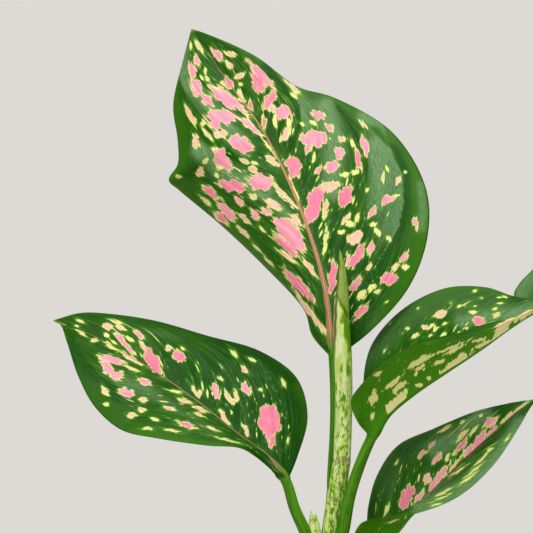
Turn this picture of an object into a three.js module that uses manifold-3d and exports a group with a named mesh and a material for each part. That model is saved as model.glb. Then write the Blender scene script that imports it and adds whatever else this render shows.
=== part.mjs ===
// A potted Chinese evergreen: a clay pot of soil with two shoots, their leaves and their rolled new leaves.
// Millimetres, +Z up. The origin is the middle of the pot's flat base. From the front +X is right, +Y back.
import * as THREE from 'three';
import { LoftGeometry } from 'three/addons/geometries/LoftGeometry.js';
import { mergeVertices } from 'three/addons/utils/BufferGeometryUtils.js';
import Module from 'manifold-3d';

const wasm = await Module();
wasm.setup();

// ---------- driving dimensions ----------

const clearance = 0.35; // left between a piece and the neighbour that cuts it

const pot = {
  height: 130,
  rimRadius: 75, // outside of the rim band
  baseRadius: 49, // outside, at the foot
  wall: 6,
  floor: 7,
  bandHeight: 30,
  bandStep: 4, // how far the band stands out from the wall below it
  edge: 2, // bevel of the foot and of the lip
  drainHoles: 3,
  drainRadius: 5,
  drainCircle: 24,
  segments: 40,
};

const soil = {
  top: 115, // at the pot's wall
  crown: 3, // how much higher the middle is
  buried: 42, // how deep a stem goes
  gap: 0.65, // to the pot's wall and floor
};

// steps, sides, across and along are how finely a solid is faceted.
const blade = { thickness: 1.2, across: 8, along: 12, tipCut: 0.985 };
const shoot = { steps: 10, sides: 12 };
const petiole = {
  radius: 3, // at the stem
  ribRadius: 2, // where the blade begins
  ribTip: 0.8, // radius where the midrib sinks into the blade
  ribEnd: 0.45, // and the station where it does
  ribSteps: 3,
  ribSunk: 0.7, // how far below the blade its middle lies, as a share of its radius
  steps: 11,
  sides: 7,
};

// The shape that the plant's leaves share where none was measured.
const habit = {
  baseFullness: 0.55, // a lower number gives a fuller base
  tipTaper: 0.95,
  stations: 10,
  stalkSteps: 4,
  neck: 1.5, // half the width where the blade begins
  point: 0.3, // and at its tip
  opening: 0.5, // how much of the fold is gone at the tip
  waves: 1.6,
  bow: 0.05, // of the width
};

// The eye that the outlines were measured from. A deeper point is spread outwards, to stay on its sight line.
const eye = { x: -60, z: 325, distance: 1800 };

// ---------- helpers ----------

const { degToRad, lerp } = THREE.MathUtils;

// [right, up, back] in mm: right and up are read on the upright plane through the pot's axis, back is depth.
function seen([right, up, back]) {
  const spread = 1 + back / eye.distance;
  return new THREE.Vector3(eye.x + (right - eye.x) * spread, back, eye.z + (up - eye.z) * spread);
}

const smoothCurve = (points) => new THREE.CatmullRomCurve3(points, false, 'centripetal');

function toSolid(geometry) {
  const bare = new THREE.BufferGeometry();
  bare.setAttribute('position', geometry.attributes.position);
  bare.setIndex(geometry.index);
  const merged = mergeVertices(bare, 1e-4);
  return new wasm.Manifold(new wasm.Mesh({
    numProp: 3,
    vertProperties: new Float32Array(merged.attributes.position.array),
    triVerts: new Uint32Array(merged.index.array),
  }));
}

function toGeometry(solid) {
  const { vertProperties, triVerts } = solid.getMesh();
  const geometry = new THREE.BufferGeometry();
  geometry.setAttribute('position', new THREE.BufferAttribute(vertProperties, 3));
  geometry.setIndex(new THREE.BufferAttribute(triVerts, 1));
  geometry.computeVertexNormals();
  return geometry;
}

// A round bar along a curve. radiusAt gives its radius at 0, the start, to 1, the end.
function bar(points, radiusAt, steps, sides) {
  const curve = smoothCurve(points);
  const frames = curve.computeFrenetFrames(steps, false);
  const sections = [];
  for (let i = 0; i <= steps; i++) {
    const centre = curve.getPointAt(i / steps);
    const radius = radiusAt(i / steps);
    const ring = [];
    for (let j = 0; j < sides; j++) {
      const turn = (j / sides) * Math.PI * 2;
      ring.push(centre.clone()
        .addScaledVector(frames.normals[i], Math.cos(turn) * radius)
        .addScaledVector(frames.binormals[i], Math.sin(turn) * radius));
    }
    sections.push(ring);
  }
  return toSolid(new LoftGeometry(sections, { capStart: true, capEnd: true }));
}

// ---------- how a leaf is made ----------

// The middle of a blade's thickness, at station s from base to tip and w across, from -1, left, to 1, right.
function bladePoint(leaf, s, w) {
  const middle = leaf.midrib.getPointAt(s);
  const margin = (w < 0 ? leaf.left : leaf.right).getPointAt(s);
  const across = Math.abs(w);
  const bow = leaf.bow[w < 0 ? 0 : 1] * Math.sin(Math.PI * s) * 4 * across * (1 - across);
  const spread = new THREE.Vector3().subVectors(leaf.right.getPointAt(s), leaf.left.getPointAt(s));
  const up = spread.cross(leaf.midrib.getTangentAt(s)).normalize();
  return middle.lerp(margin, across).addScaledVector(up, bow);
}

// The direction out of the blade's upper face.
function bladeNormal(leaf, s, w) {
  const step = 0.01;
  const [low, high] = [Math.max(s - step, 0), Math.min(s + step, 1 - step)];
  const [near, far] = [Math.max(w - step, -1), Math.min(w + step, 1)];
  const along = bladePoint(leaf, high, w).sub(bladePoint(leaf, low, w));
  const across = bladePoint(leaf, s, far).sub(bladePoint(leaf, s, near));
  return across.cross(along).normalize();
}

// A blade starts as a flat box, whose points move to the leaf's surface and half its thickness off it.
function bladeSolid(leaf) {
  const box = new THREE.BoxGeometry(2, 1, 1, blade.across, blade.along, 1);
  const points = box.attributes.position;
  for (let i = 0; i < points.count; i++) {
    const s = (points.getY(i) + 0.5) * blade.tipCut;
    const w = points.getX(i);
    const off = points.getZ(i) * blade.thickness;
    const moved = bladePoint(leaf, s, w).addScaledVector(bladeNormal(leaf, s, w), off);
    points.setXYZ(i, moved.x, moved.y, moved.z);
  }
  return toSolid(box);
}

// The petiole runs from the stem to the blade, and goes on under the blade as its midrib.
function petioleSolid(leaf) {
  const path = leaf.petiole.slice();
  const stalkLength = smoothCurve(path).getLength();
  for (let i = 1; i <= petiole.ribSteps; i++) {
    const t = i / petiole.ribSteps;
    const s = t * petiole.ribEnd;
    const depth = lerp(petiole.ribRadius, petiole.ribTip, t) * petiole.ribSunk;
    path.push(bladePoint(leaf, s, 0).addScaledVector(bladeNormal(leaf, s, 0), -depth));
  }
  const total = smoothCurve(path).getLength();
  const radiusAt = (t) => {
    const along = t * total;
    if (along < stalkLength) return lerp(petiole.radius, petiole.ribRadius, along / stalkLength);
    return lerp(petiole.ribRadius, petiole.ribTip, (along - stalkLength) / (total - stalkLength));
  };
  return bar(path, radiusAt, petiole.steps, petiole.sides);
}

// A leaf with a measured outline. Its midrib, margins and stalk are lists of [right, up, back].
function measuredLeaf({ midrib, left, right, stalk, bow }) {
  const middle = midrib.map(seen);
  return {
    midrib: smoothCurve(middle),
    left: smoothCurve(left.map(seen)),
    right: smoothCurve(right.map(seen)),
    petiole: [...stalk.map(seen), middle[0]],
    bow,
  };
}

// How wide an ovate blade is at station s, as a share of its greatest width.
function ovate(s) {
  const widest = habit.baseFullness / (habit.baseFullness + habit.tipTaper);
  return (s / widest) ** habit.baseFullness * ((1 - s) / (1 - widest)) ** habit.tipTaper;
}

// Which way a leaf runs, its left and its upper side, from its heading, pitch and roll in degrees.
function leafFrame(heading, pitch, roll) {
  const [h, p] = [degToRad(heading), degToRad(pitch)];
  const along = new THREE.Vector3(Math.cos(p) * Math.cos(h), Math.cos(p) * Math.sin(h), Math.sin(p));
  const left = new THREE.Vector3(-Math.sin(h), Math.cos(h), 0).applyAxisAngle(along, degToRad(roll));
  return { along, left, up: new THREE.Vector3().crossVectors(along, left) };
}

// A leaf that follows the plant's habit. It leaves the stem at root, and its pitch falls towards the tip.
function habitLeaf({ root, heading, pitch, stalk, length, width, fold, roll, wave, turn }) {
  const point = new THREE.Vector3(...root);
  const stalkPoints = [point.clone()];
  for (let i = 0; i < habit.stalkSteps; i++) {
    const { along } = leafFrame(heading, lerp(pitch[0], pitch[1], (i + 0.5) / habit.stalkSteps), 0);
    point.addScaledVector(along, stalk / habit.stalkSteps);
    stalkPoints.push(point.clone());
  }
  const [midrib, left, right] = [[], [], []];
  for (let i = 0; i <= habit.stations; i++) {
    const s = i / habit.stations;
    const frame = leafFrame(heading + turn * s, lerp(pitch[1], pitch[2], s), roll);
    const half = Math.max((ovate(s) * width) / 2, lerp(habit.neck, habit.point, s));
    const raise = degToRad(fold) * (1 - habit.opening * s);
    const [out, lift] = [half * Math.cos(raise), half * Math.sin(raise)];
    const ripple = wave * Math.sin(s * Math.PI * 2 * habit.waves) * ovate(s);
    midrib.push(point.clone());
    left.push(point.clone().addScaledVector(frame.left, out).addScaledVector(frame.up, lift + ripple));
    right.push(point.clone().addScaledVector(frame.left, -out).addScaledVector(frame.up, lift - ripple));
    point.addScaledVector(frame.along, length / habit.stations);
  }
  return {
    midrib: smoothCurve(midrib),
    left: smoothCurve(left),
    right: smoothCurve(right),
    petiole: stalkPoints,
    bow: [width * habit.bow, width * habit.bow],
  };
}

// ---------- the leaves ----------

const measuredLeaves = {
  top_leaf: {
    midrib: [[-30, 287, 5], [-34, 317, 11], [-44, 349, 22], [-60.5, 384, 38], [-78, 409, 54],
      [-93.6, 432, 70]],
    left: [[-32, 285, 5], [-39.5, 294, 12], [-43, 305, 18], [-60.5, 324.5, 32], [-81, 344, 44],
      [-99, 359, 48], [-104, 364, 42], [-100, 371, 46], [-100, 382, 52], [-102, 397.5, 58], [-97.5, 418, 65],
      [-93.9, 431.5, 70]],
    right: [[-27, 285, 5], [-13, 296, 2], [4, 315.5, 6], [12.5, 338.5, 16], [11.5, 361, 28],
      [-3.5, 385.5, 40], [-29.5, 401, 48], [-46, 406, 52], [-65.5, 420, 57], [-88.5, 430.3, 67],
      [-93.3, 431.7, 70]],
    stalk: [[-31, 212, 3], [-29.5, 235, 5], [-28.8, 262, 5.5]],
    bow: [8, 4],
  },
  left_leaf: {
    midrib: [[-51.5, 229, -2], [-58.5, 238.5, 0], [-72.5, 249, 5], [-88.5, 262, 12], [-105, 274, 20],
      [-121, 284, 28], [-137, 293, 35], [-156, 300.6, 42]],
    left: [[-53.5, 229.5, -3], [-64.5, 239, -5], [-72, 243.2, -10], [-87, 244.4, -16], [-109.5, 247.7, -14],
      [-125, 251.3, -8], [-137, 261.5, 2], [-144.5, 275, 14], [-150, 291.5, 30], [-153, 299, 40],
      [-155.8, 300.3, 42]],
    right: [[-50, 229.5, -1], [-46, 239.5, 6], [-41.5, 257.5, 16], [-46.5, 275, 26], [-63, 287, 34],
      [-87, 294, 40], [-109.5, 300.5, 44], [-127.5, 303.4, 45], [-143, 304.2, 44], [-155.8, 300.9, 42]],
    stalk: [[-34, 185, -3], [-42.3, 205, -5], [-47.3, 216, -4]],
    bow: [2, 5],
  },
  right_upper_leaf: {
    midrib: [[-12.5, 248.5, -9], [-6.8, 259, -11], [4.8, 268.8, -15], [20.3, 279, -20], [36, 289, -25],
      [49, 298, -29], [60, 304.5, -32], [74, 309.5, -36]],
    left: [[-12.5, 250, -7], [-15.5, 262, 4], [-16.3, 275, 10], [-13.3, 288.5, 14], [-5.5, 299.7, 15],
      [6, 309, 14], [21.5, 315.5, 9], [38.5, 315.7, 0], [50, 312, -12], [60, 309.8, -24], [74, 309.8, -36]],
    right: [[-14.5, 249.5, -11], [-19, 255, -19], [-22, 264.5, -28], [-17, 272.3, -36], [-8, 280.7, -43],
      [3, 287.5, -47], [18.5, 291.2, -49], [35.5, 294.8, -47], [51, 301, -43], [60, 305.3, -41],
      [74, 309.2, -36]],
    stalk: [[-29, 190, -7], [-25.5, 207, -8], [-22.5, 222, -9], [-17.5, 237, -9]],
    bow: [4, 5],
  },
  right_lower_leaf: {
    midrib: [[-20, 196, -2], [-6, 203.5, -2], [4, 214, -1], [13.7, 222.7, 0], [29, 238, 3], [44.5, 252, 6],
      [54, 260.5, 9], [61.5, 265.2, 12]],
    left: [[-20, 198, 0], [-15.5, 206, 8], [-14.2, 217.3, 14], [-10.3, 231, 20], [-1, 244.4, 24],
      [15, 252, 25], [35.3, 260.2, 20], [52.4, 263.9, 14], [61.3, 265.4, 12]],
    right: [[-20.5, 196.5, -5], [-21, 203, -10], [-17, 209.8, -14], [-5, 212, -20], [7.5, 213.8, -26],
      [26, 221.2, -26], [41, 234.3, -18], [52.4, 250.5, -2], [58.5, 261, 9], [61.3, 264.8, 12]],
    stalk: [[-31, 172, 0], [-27, 182, -1]],
    bow: [4, 2],
  },
  side_shoot_top_leaf: {
    midrib: [[90, 290, 50], [98, 308, 52], [110, 335, 58], [128, 370, 68], [160, 412, 84]],
    left: [[88, 290, 49], [72, 294, 46], [57, 302.5, 45], [50, 309, 46], [60, 322, 49], [78, 345, 56],
      [100, 372, 64], [128, 396, 74], [159.5, 412.5, 84]],
    right: [[92, 290, 50], [112, 296, 46], [135, 318, 46], [146, 345, 52], [152, 375, 64],
      [160.5, 411.5, 84]],
    stalk: [[85, 238, 46], [88, 262, 49]],
    bow: [6, 5],
  },
};

// Angles in degrees. pitch is at the stem, at the blade's base and at its tip. turn swings the blade aside.
const habitLeaves = {
  side_shoot_right_leaf: {
    root: [88, 36, 232], heading: 4, pitch: [62, 38, -12], stalk: 52,
    length: 128, width: 76, fold: 20, roll: -12, wave: 4, turn: -14,
  },
  side_shoot_back_leaf: {
    root: [80, 42, 222], heading: 74, pitch: [58, 34, -18], stalk: 50,
    length: 120, width: 70, fold: 18, roll: 10, wave: 4, turn: 16,
  },
  side_shoot_front_leaf: {
    root: [74, 28, 212], heading: -42, pitch: [44, 20, -36], stalk: 48,
    length: 118, width: 70, fold: 14, roll: 6, wave: 3, turn: -18,
  },
  side_shoot_lower_leaf: {
    root: [59, 18, 176], heading: 20, pitch: [34, 6, -40], stalk: 44,
    length: 108, width: 62, fold: 14, roll: -8, wave: 3, turn: 16,
  },
  lower_front_leaf: {
    root: [-36, -6, 150], heading: -68, pitch: [44, 8, -42], stalk: 42,
    length: 112, width: 64, fold: 16, roll: 4, wave: 3, turn: -16,
  },
  lower_left_leaf: {
    root: [-41, -2, 158], heading: 196, pitch: [34, 2, -40], stalk: 40,
    length: 108, width: 62, fold: 16, roll: 8, wave: 3, turn: 20,
  },
  lower_back_leaf: {
    root: [-37, 6, 146], heading: 108, pitch: [42, 8, -40], stalk: 44,
    length: 110, width: 64, fold: 16, roll: -6, wave: 3, turn: -12,
  },
};

// ---------- stems, rolled new leaves and the young shoot ----------

// path is the middle line in mm, and radius is spaced evenly along it.
const mainStem = {
  path: [[-36, 0, soil.top - soil.buried], [-36.5, 0, 125], [-35.5, 0, 165], [-31.5, 0, 200], [-27.2, 0, 232],
    [-26, 0, 241]],
  radius: [6.5, 6.6, 6.2, 5.2, 4.3, 4.1],
};

const sideStem = {
  path: [[33, 10, soil.top - soil.buried], [37, 12, 122], [50, 17, 158], [68, 28, 200], [80, 38, 228],
    [83, 40, 236]],
  radius: [6, 6, 5.6, 4.9, 4.1, 4],
};

const mainNewLeaf = {
  path: [[-26, 0, 241.4], [-25.4, 0, 262], [-25.4, 0, 285], [-25.4, -0.5, 303], [-26, -1, 318],
    [-27.3, -1, 333.5]],
  radius: [4.1, 3.9, 4, 3.7, 2.3, 0.4],
};

const sideNewLeaf = {
  path: [[83.2, 40.1, 236.5], [90, 44.5, 255], [94.5, 47, 278], [97, 48, 300], [98.5, 48, 320]],
  radius: [4, 3.8, 3.4, 2.4, 0.4],
};

const youngShoot = {
  path: [[-38.6, -3.4, 168], [-39, -3.6, 186], [-38.2, -3.5, 203], [-39.2, -3.4, 215.5]],
  radius: [2.4, 3.2, 2.8, 0.5],
};

function radiusFrom(list, t) {
  const along = t * (list.length - 1);
  const i = Math.min(Math.floor(along), list.length - 2);
  return lerp(list[i], list[i + 1], along - i);
}

// A stem or a rolled leaf. With extra it is larger all round, to cut its neighbours with.
function shootSolid({ path, radius }, extra = 0) {
  const points = path.map((point) => new THREE.Vector3(...point));
  const [first, second] = points;
  const [last, previous] = points.slice().reverse();
  first.addScaledVector(first.clone().sub(second).normalize(), extra);
  last.addScaledVector(last.clone().sub(previous).normalize(), extra);
  return bar(points, (t) => radiusFrom(radius, t) + extra, shoot.steps, shoot.sides);
}

// ---------- pot and soil ----------

// The pot's outer radius at a height, below and behind the rim band.
const potOuter = (z) => lerp(pot.baseRadius, pot.rimRadius - pot.bandStep, z / pot.height);

function lathed(profile) {
  const geometry = new THREE.LatheGeometry(profile.map(([r, z]) => new THREE.Vector2(r, z)), pot.segments);
  geometry.rotateX(Math.PI / 2);
  return toSolid(geometry);
}

function potSolid() {
  const bandFoot = pot.height - pot.bandHeight;
  const mouth = pot.rimRadius - pot.bandStep - pot.wall;
  let body = lathed([
    [0, 0],
    [pot.baseRadius - pot.edge, 0],
    [pot.baseRadius, pot.edge],
    [potOuter(bandFoot), bandFoot],
    [pot.rimRadius - pot.edge, bandFoot + 1],
    [pot.rimRadius, pot.height - pot.edge],
    [pot.rimRadius - pot.edge, pot.height],
    [mouth + pot.edge, pot.height],
    [mouth, pot.height - pot.edge],
    [potOuter(pot.floor) - pot.wall, pot.floor],
    [0, pot.floor],
  ]);
  for (let i = 0; i < pot.drainHoles; i++) {
    const turn = ((i + 0.25) / pot.drainHoles) * Math.PI * 2;
    const hole = new THREE.CylinderGeometry(pot.drainRadius, pot.drainRadius, pot.floor * 3, 16);
    hole.rotateX(Math.PI / 2);
    hole.translate(Math.cos(turn) * pot.drainCircle, Math.sin(turn) * pot.drainCircle, pot.floor / 2);
    body = body.subtract(toSolid(hole));
  }
  return body;
}

function soilSolid() {
  const inner = (z) => potOuter(z) - pot.wall - soil.gap;
  const foot = pot.floor + soil.gap;
  const rim = inner(soil.top);
  return lathed([
    [0, foot],
    [inner(foot), foot],
    [rim, soil.top],
    [rim * 0.7, soil.top + soil.crown * 0.5],
    [rim * 0.4, soil.top + soil.crown * 0.9],
    [0, soil.top + soil.crown],
  ]);
}

// ---------- the plant in its pot ----------

const finishes = {
  clay: new THREE.MeshStandardMaterial({ color: 0xb86f4c, roughness: 0.85, metalness: 0 }),
  soil: new THREE.MeshStandardMaterial({ color: 0x3a2a20, roughness: 0.95, metalness: 0 }),
  leaf: new THREE.MeshStandardMaterial({ color: 0x2f6b22, roughness: 0.4, metalness: 0 }),
  stem: new THREE.MeshStandardMaterial({ color: 0x9fb35a, roughness: 0.5, metalness: 0 }),
  newLeaf: new THREE.MeshStandardMaterial({ color: 0xc9d6a0, roughness: 0.45, metalness: 0 }),
};

const plant = new THREE.Group();

function add(name, solid, material) {
  const mesh = new THREE.Mesh(toGeometry(solid), material);
  mesh.name = name;
  plant.add(mesh);
}

const shoots = [mainStem, sideStem, mainNewLeaf, sideNewLeaf, youngShoot];
const cutters = new Map(shoots.map((shape) => [shape, shootSolid(shape, clearance)]));

add('pot', potSolid(), finishes.clay);
add('soil', soilSolid().subtract(cutters.get(mainStem)).subtract(cutters.get(sideStem)), finishes.soil);
add('main_stem', shootSolid(mainStem), finishes.stem);
add('side_stem', shootSolid(sideStem), finishes.stem);
add('main_new_leaf', shootSolid(mainNewLeaf).subtract(cutters.get(mainStem)), finishes.newLeaf);
add('side_new_leaf', shootSolid(sideNewLeaf).subtract(cutters.get(sideStem)), finishes.newLeaf);
add('young_shoot', shootSolid(youngShoot).subtract(cutters.get(mainStem)), finishes.newLeaf);

const leaves = Object.entries({
  ...Object.fromEntries(Object.entries(measuredLeaves).map(([name, spec]) => [name, measuredLeaf(spec)])),
  ...Object.fromEntries(Object.entries(habitLeaves).map(([name, spec]) => [name, habitLeaf(spec)])),
});

for (const [name, leaf] of leaves) {
  let solid = bladeSolid(leaf).add(petioleSolid(leaf));
  for (const cutter of cutters.values()) solid = solid.subtract(cutter);
  const [whole] = solid.decompose().sort((a, b) => b.volume() - a.volume()); // not the slivers at the stem
  add(name, whole, finishes.leaf);
}

export default plant;
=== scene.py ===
# A potted Chinese evergreen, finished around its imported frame. Lengths are in mm until a mesh is made.
import math

import bmesh
import bpy
import numpy as np
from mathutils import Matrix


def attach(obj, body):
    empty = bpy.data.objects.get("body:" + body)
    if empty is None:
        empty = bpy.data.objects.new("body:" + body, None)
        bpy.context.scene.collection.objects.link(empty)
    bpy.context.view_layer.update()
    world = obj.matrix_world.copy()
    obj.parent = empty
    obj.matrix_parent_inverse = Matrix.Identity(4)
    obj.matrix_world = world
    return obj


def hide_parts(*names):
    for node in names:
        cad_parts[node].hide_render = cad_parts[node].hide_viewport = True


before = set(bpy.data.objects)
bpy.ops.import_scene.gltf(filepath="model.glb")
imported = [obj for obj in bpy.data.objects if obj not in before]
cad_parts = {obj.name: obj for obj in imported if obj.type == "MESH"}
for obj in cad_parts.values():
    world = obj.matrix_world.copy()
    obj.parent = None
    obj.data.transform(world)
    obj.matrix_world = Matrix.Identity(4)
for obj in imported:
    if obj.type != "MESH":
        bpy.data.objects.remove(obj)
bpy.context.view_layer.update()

mm = 0.001
rng = np.random.default_rng(7)

camera = dict(x=-60, z=325, distance=1800, mmPerPixel=0.45, pixels=533, sensor=36)


def makeCamera():
    data = bpy.data.cameras.new("view")
    data.sensor_width = camera["sensor"]
    data.lens = camera["sensor"] * camera["distance"] / (camera["pixels"] * camera["mmPerPixel"])
    eye = bpy.data.objects.new("view", data)
    eye.location = (camera["x"] * mm, -camera["distance"] * mm, camera["z"] * mm)
    eye.rotation_euler = (math.pi / 2, 0, 0)
    bpy.context.scene.collection.objects.link(eye)
    bpy.context.scene.camera = eye


# [right, up, back]: right and up are read on the upright plane through the pot's axis, back is depth
def seen(points):
    right, up, back = np.array(points, float).T
    spread = 1 + back / camera["distance"]
    x = camera["x"] + (right - camera["x"]) * spread
    z = camera["z"] + (up - camera["z"]) * spread
    return np.column_stack([x, back, z])


# where a point shows in the photograph, in its pixels
def inPhoto(points):
    spread = 1 + points[..., 1] / camera["distance"]
    half = camera["pixels"] / 2
    across = half + (points[..., 0] - camera["x"]) / spread / camera["mmPerPixel"]
    down = half - (points[..., 2] - camera["z"]) / spread / camera["mmPerPixel"]
    return across, down


studio = dict(
    backdrop=(0.723, 0.701, 0.665, 1), fill=(1.0, 0.99, 0.97, 1), fillStrength=0.70, mirrored=0.10,
    key=dict(place=(-0.7, -1.5, 1.3), aim=(-0.05, 0, 0.3), size=0.9, power=12.5),
    top=dict(place=(0.25, -0.35, 1.7), aim=(0, 0, 0.3), size=1.1, power=10),
    floor=(0.62, 0.6, 0.57, 1), floorRadius=2.5, floorGap=0.0003,
)


def makeStudio():
    world = bpy.data.worlds.new("studio")
    bpy.context.scene.world = world
    world.use_nodes = True
    tree = world.node_tree
    tree.nodes.clear()
    ways = put(tree, "ShaderNodeLightPath").outputs
    lit = [("backdrop", 1.0), ("fill", studio["fillStrength"]), ("fill", studio["mirrored"])]
    back, fill, faint = (
        put(tree, "ShaderNodeBackground", {"Color": studio[colour], "Strength": strength}).outputs[0]
        for colour, strength in lit)
    soft = wire("ShaderNodeMixShader", {0: ways["Is Glossy Ray"], 1: fill, 2: faint}).outputs[0]
    both = wire("ShaderNodeMixShader", {0: ways["Is Camera Ray"], 1: soft, 2: back}).outputs[0]
    wire("ShaderNodeOutputWorld", {"Surface": both})
    for name in ("key", "top"):
        lamp = studio[name]
        data = bpy.data.lights.new(name, "AREA")
        data.size = lamp["size"]
        data.energy = lamp["power"]
        light = bpy.data.objects.new(name, data)
        bpy.context.scene.collection.objects.link(light)
        place = np.array(lamp["place"])
        away = place - np.array(lamp["aim"])
        light.location = place
        light.rotation_euler = (math.acos(away[2] / np.linalg.norm(away)), 0,
                                math.atan2(away[1], away[0]) + math.pi / 2)
    bpy.ops.mesh.primitive_circle_add(vertices=96, radius=studio["floorRadius"], fill_type="NGON")
    floor = bpy.context.object
    floor.name = "floor"
    floor.location.z = -studio["floorGap"]
    floor.data.materials.append(plainFloor())
    bpy.context.scene.view_settings.view_transform = "Standard"


def put(tree, kind, inputs=None, **settings):
    node = tree.nodes.new(kind)
    for name, value in settings.items():
        setattr(node, name, value)
    for name, value in (inputs or {}).items():
        if isinstance(value, bpy.types.NodeSocket):
            tree.links.new(value, node.inputs[name])
        else:
            node.inputs[name].default_value = value
    return node


# a node in the tree that its inputs come from
def wire(kind, inputs, **settings):
    tree = next(value.id_data for value in inputs.values() if isinstance(value, bpy.types.NodeSocket))
    return put(tree, kind, inputs, **settings)


def calc(kind, *values):
    return wire("ShaderNodeMath", dict(enumerate(values)), operation=kind).outputs[0]


def plus(first, second):
    return calc("ADD", first, second)


def minus(first, second):
    return calc("SUBTRACT", first, second)


def times(first, second):
    return calc("MULTIPLY", first, second)


def fade(value, low, high, toLow=0.0, toHigh=1.0, kind="SMOOTHSTEP"):
    ends = {"Value": value, "From Min": low, "From Max": high, "To Min": toLow, "To Max": toHigh}
    return wire("ShaderNodeMapRange", ends, interpolation_type=kind).outputs[0]


def mixed(factor, first, second):
    return wire("ShaderNodeMix", {0: factor, 6: first, 7: second}, data_type="RGBA").outputs[2]


# lays a colour over the skin where the value passes from low to high
def coat(skin, colour, value, low, high, toLow=0.0, toHigh=1.0):
    return mixed(fade(value, low, high, toLow, toHigh), skin, colour)


def noise(vector, scale, detail=2.0, rough=0.5, lean=0.0):
    inputs = {"Vector": vector, "Scale": scale, "Detail": detail, "Roughness": rough, "Distortion": lean}
    return wire("ShaderNodeTexNoise", inputs).outputs["Fac"]


def stretched(vector, scale):
    return wire("ShaderNodeMapping", {"Vector": vector, "Scale": scale}).outputs[0]


def parted(vector):
    return wire("ShaderNodeSeparateXYZ", {0: vector}).outputs


def joined(x, y, z=0.0):
    return wire("ShaderNodeCombineXYZ", {0: x, 1: y, 2: z}).outputs[0]


def ramp(factor, stops):
    node = wire("ShaderNodeValToRGB", {"Fac": factor})
    ends = node.color_ramp.elements
    while len(ends) < len(stops):
        ends.new(0.5)
    for end, (place, colour) in zip(ends, stops):
        end.position = place
        end.color = (*colour, 1)
    return node.outputs["Color"]


def readParts(tree, name):
    return parted(put(tree, "ShaderNodeAttribute", attribute_name=name).outputs["Vector"])


# the place on the piece in metres, and the same in cm
def objectPlace(tree):
    place = put(tree, "ShaderNodeTexCoord").outputs["Object"]
    return place, stretched(place, (100, 100, 100))


# a shader group that takes a vector and some numbers, and gives one number
def nodeGroup(name, numbers, result):
    tree = bpy.data.node_groups.new(name, "ShaderNodeTree")
    tree.interface.new_socket("Vector", in_out="INPUT", socket_type="NodeSocketVector")
    for label, value in numbers.items():
        socket = tree.interface.new_socket(label, in_out="INPUT", socket_type="NodeSocketFloat")
        socket.default_value = value
    tree.interface.new_socket(result, in_out="OUTPUT", socket_type="NodeSocketFloat")
    return tree, tree.nodes.new("NodeGroupInput").outputs, tree.nodes.new("NodeGroupOutput").inputs[0]


def useGroup(name, inputs):
    return wire("ShaderNodeGroup", inputs, node_tree=groups[name]).outputs[0]


# small spots, one to a cell at most: Depth is above 0 inside a spot, in the vector's own unit
def makeFlecks():
    tree, given, out = nodeGroup("flecks", dict(Scale=2.0, Share=0.5, Size=0.6), "Depth")
    cells = wire("ShaderNodeTexVoronoi", {"Vector": given["Vector"], "Scale": given["Scale"]}).outputs
    luck = wire("ShaderNodeSeparateColor", {0: cells["Color"]}).outputs[0]
    radius = times(minus(luck, minus(1.0, given["Share"])), given["Size"])
    tree.links.new(calc("DIVIDE", minus(radius, cells["Distance"]), given["Scale"]), out)
    return tree


# tone that runs in streaks along the second axis
def makeStreaks():
    tree, given, out = nodeGroup("streaks", dict(Fine=6.0, Length=5.0), "Tone")
    across, along, height = parted(given["Vector"])
    vector = joined(across, calc("DIVIDE", along, given["Length"]), height)
    wide = noise(vector, times(given["Fine"], 0.25))
    thin = noise(vector, given["Fine"], 3.0, 0.6)
    tree.links.new(plus(times(wide, 0.6), times(thin, 0.4)), out)
    return tree


# the fine relief of a skin or a fired surface
def makeGrain():
    tree, given, out = nodeGroup("grain", dict(Scale=20.0, Depth=1.0), "Height")
    fine = noise(given["Vector"], given["Scale"], 4.0, 0.65)
    coarse = noise(given["Vector"], times(given["Scale"], 0.2))
    tree.links.new(times(plus(fine, times(coarse, 0.8)), given["Depth"]), out)
    return tree


groups = dict(flecks=makeFlecks(), streaks=makeStreaks(), grain=makeGrain())


def newMaterial(name):
    material = bpy.data.materials.new(name)
    material.use_nodes = True
    material.node_tree.nodes.clear()
    return material, material.node_tree


def finishMaterial(tree, inputs, height=None, strength=0.3, distance=0.0005):
    if height is not None:
        bump = wire("ShaderNodeBump", {"Height": height, "Strength": strength, "Distance": distance})
        inputs["Normal"] = bump.outputs[0]
    shader = put(tree, "ShaderNodeBsdfPrincipled", inputs)
    wire("ShaderNodeOutputMaterial", {"Surface": shader.outputs[0]})


def plainFloor():
    material, tree = newMaterial("floorPaint")
    finishMaterial(tree, {"Base Color": studio["floor"], "Roughness": 0.9})
    return material


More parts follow.
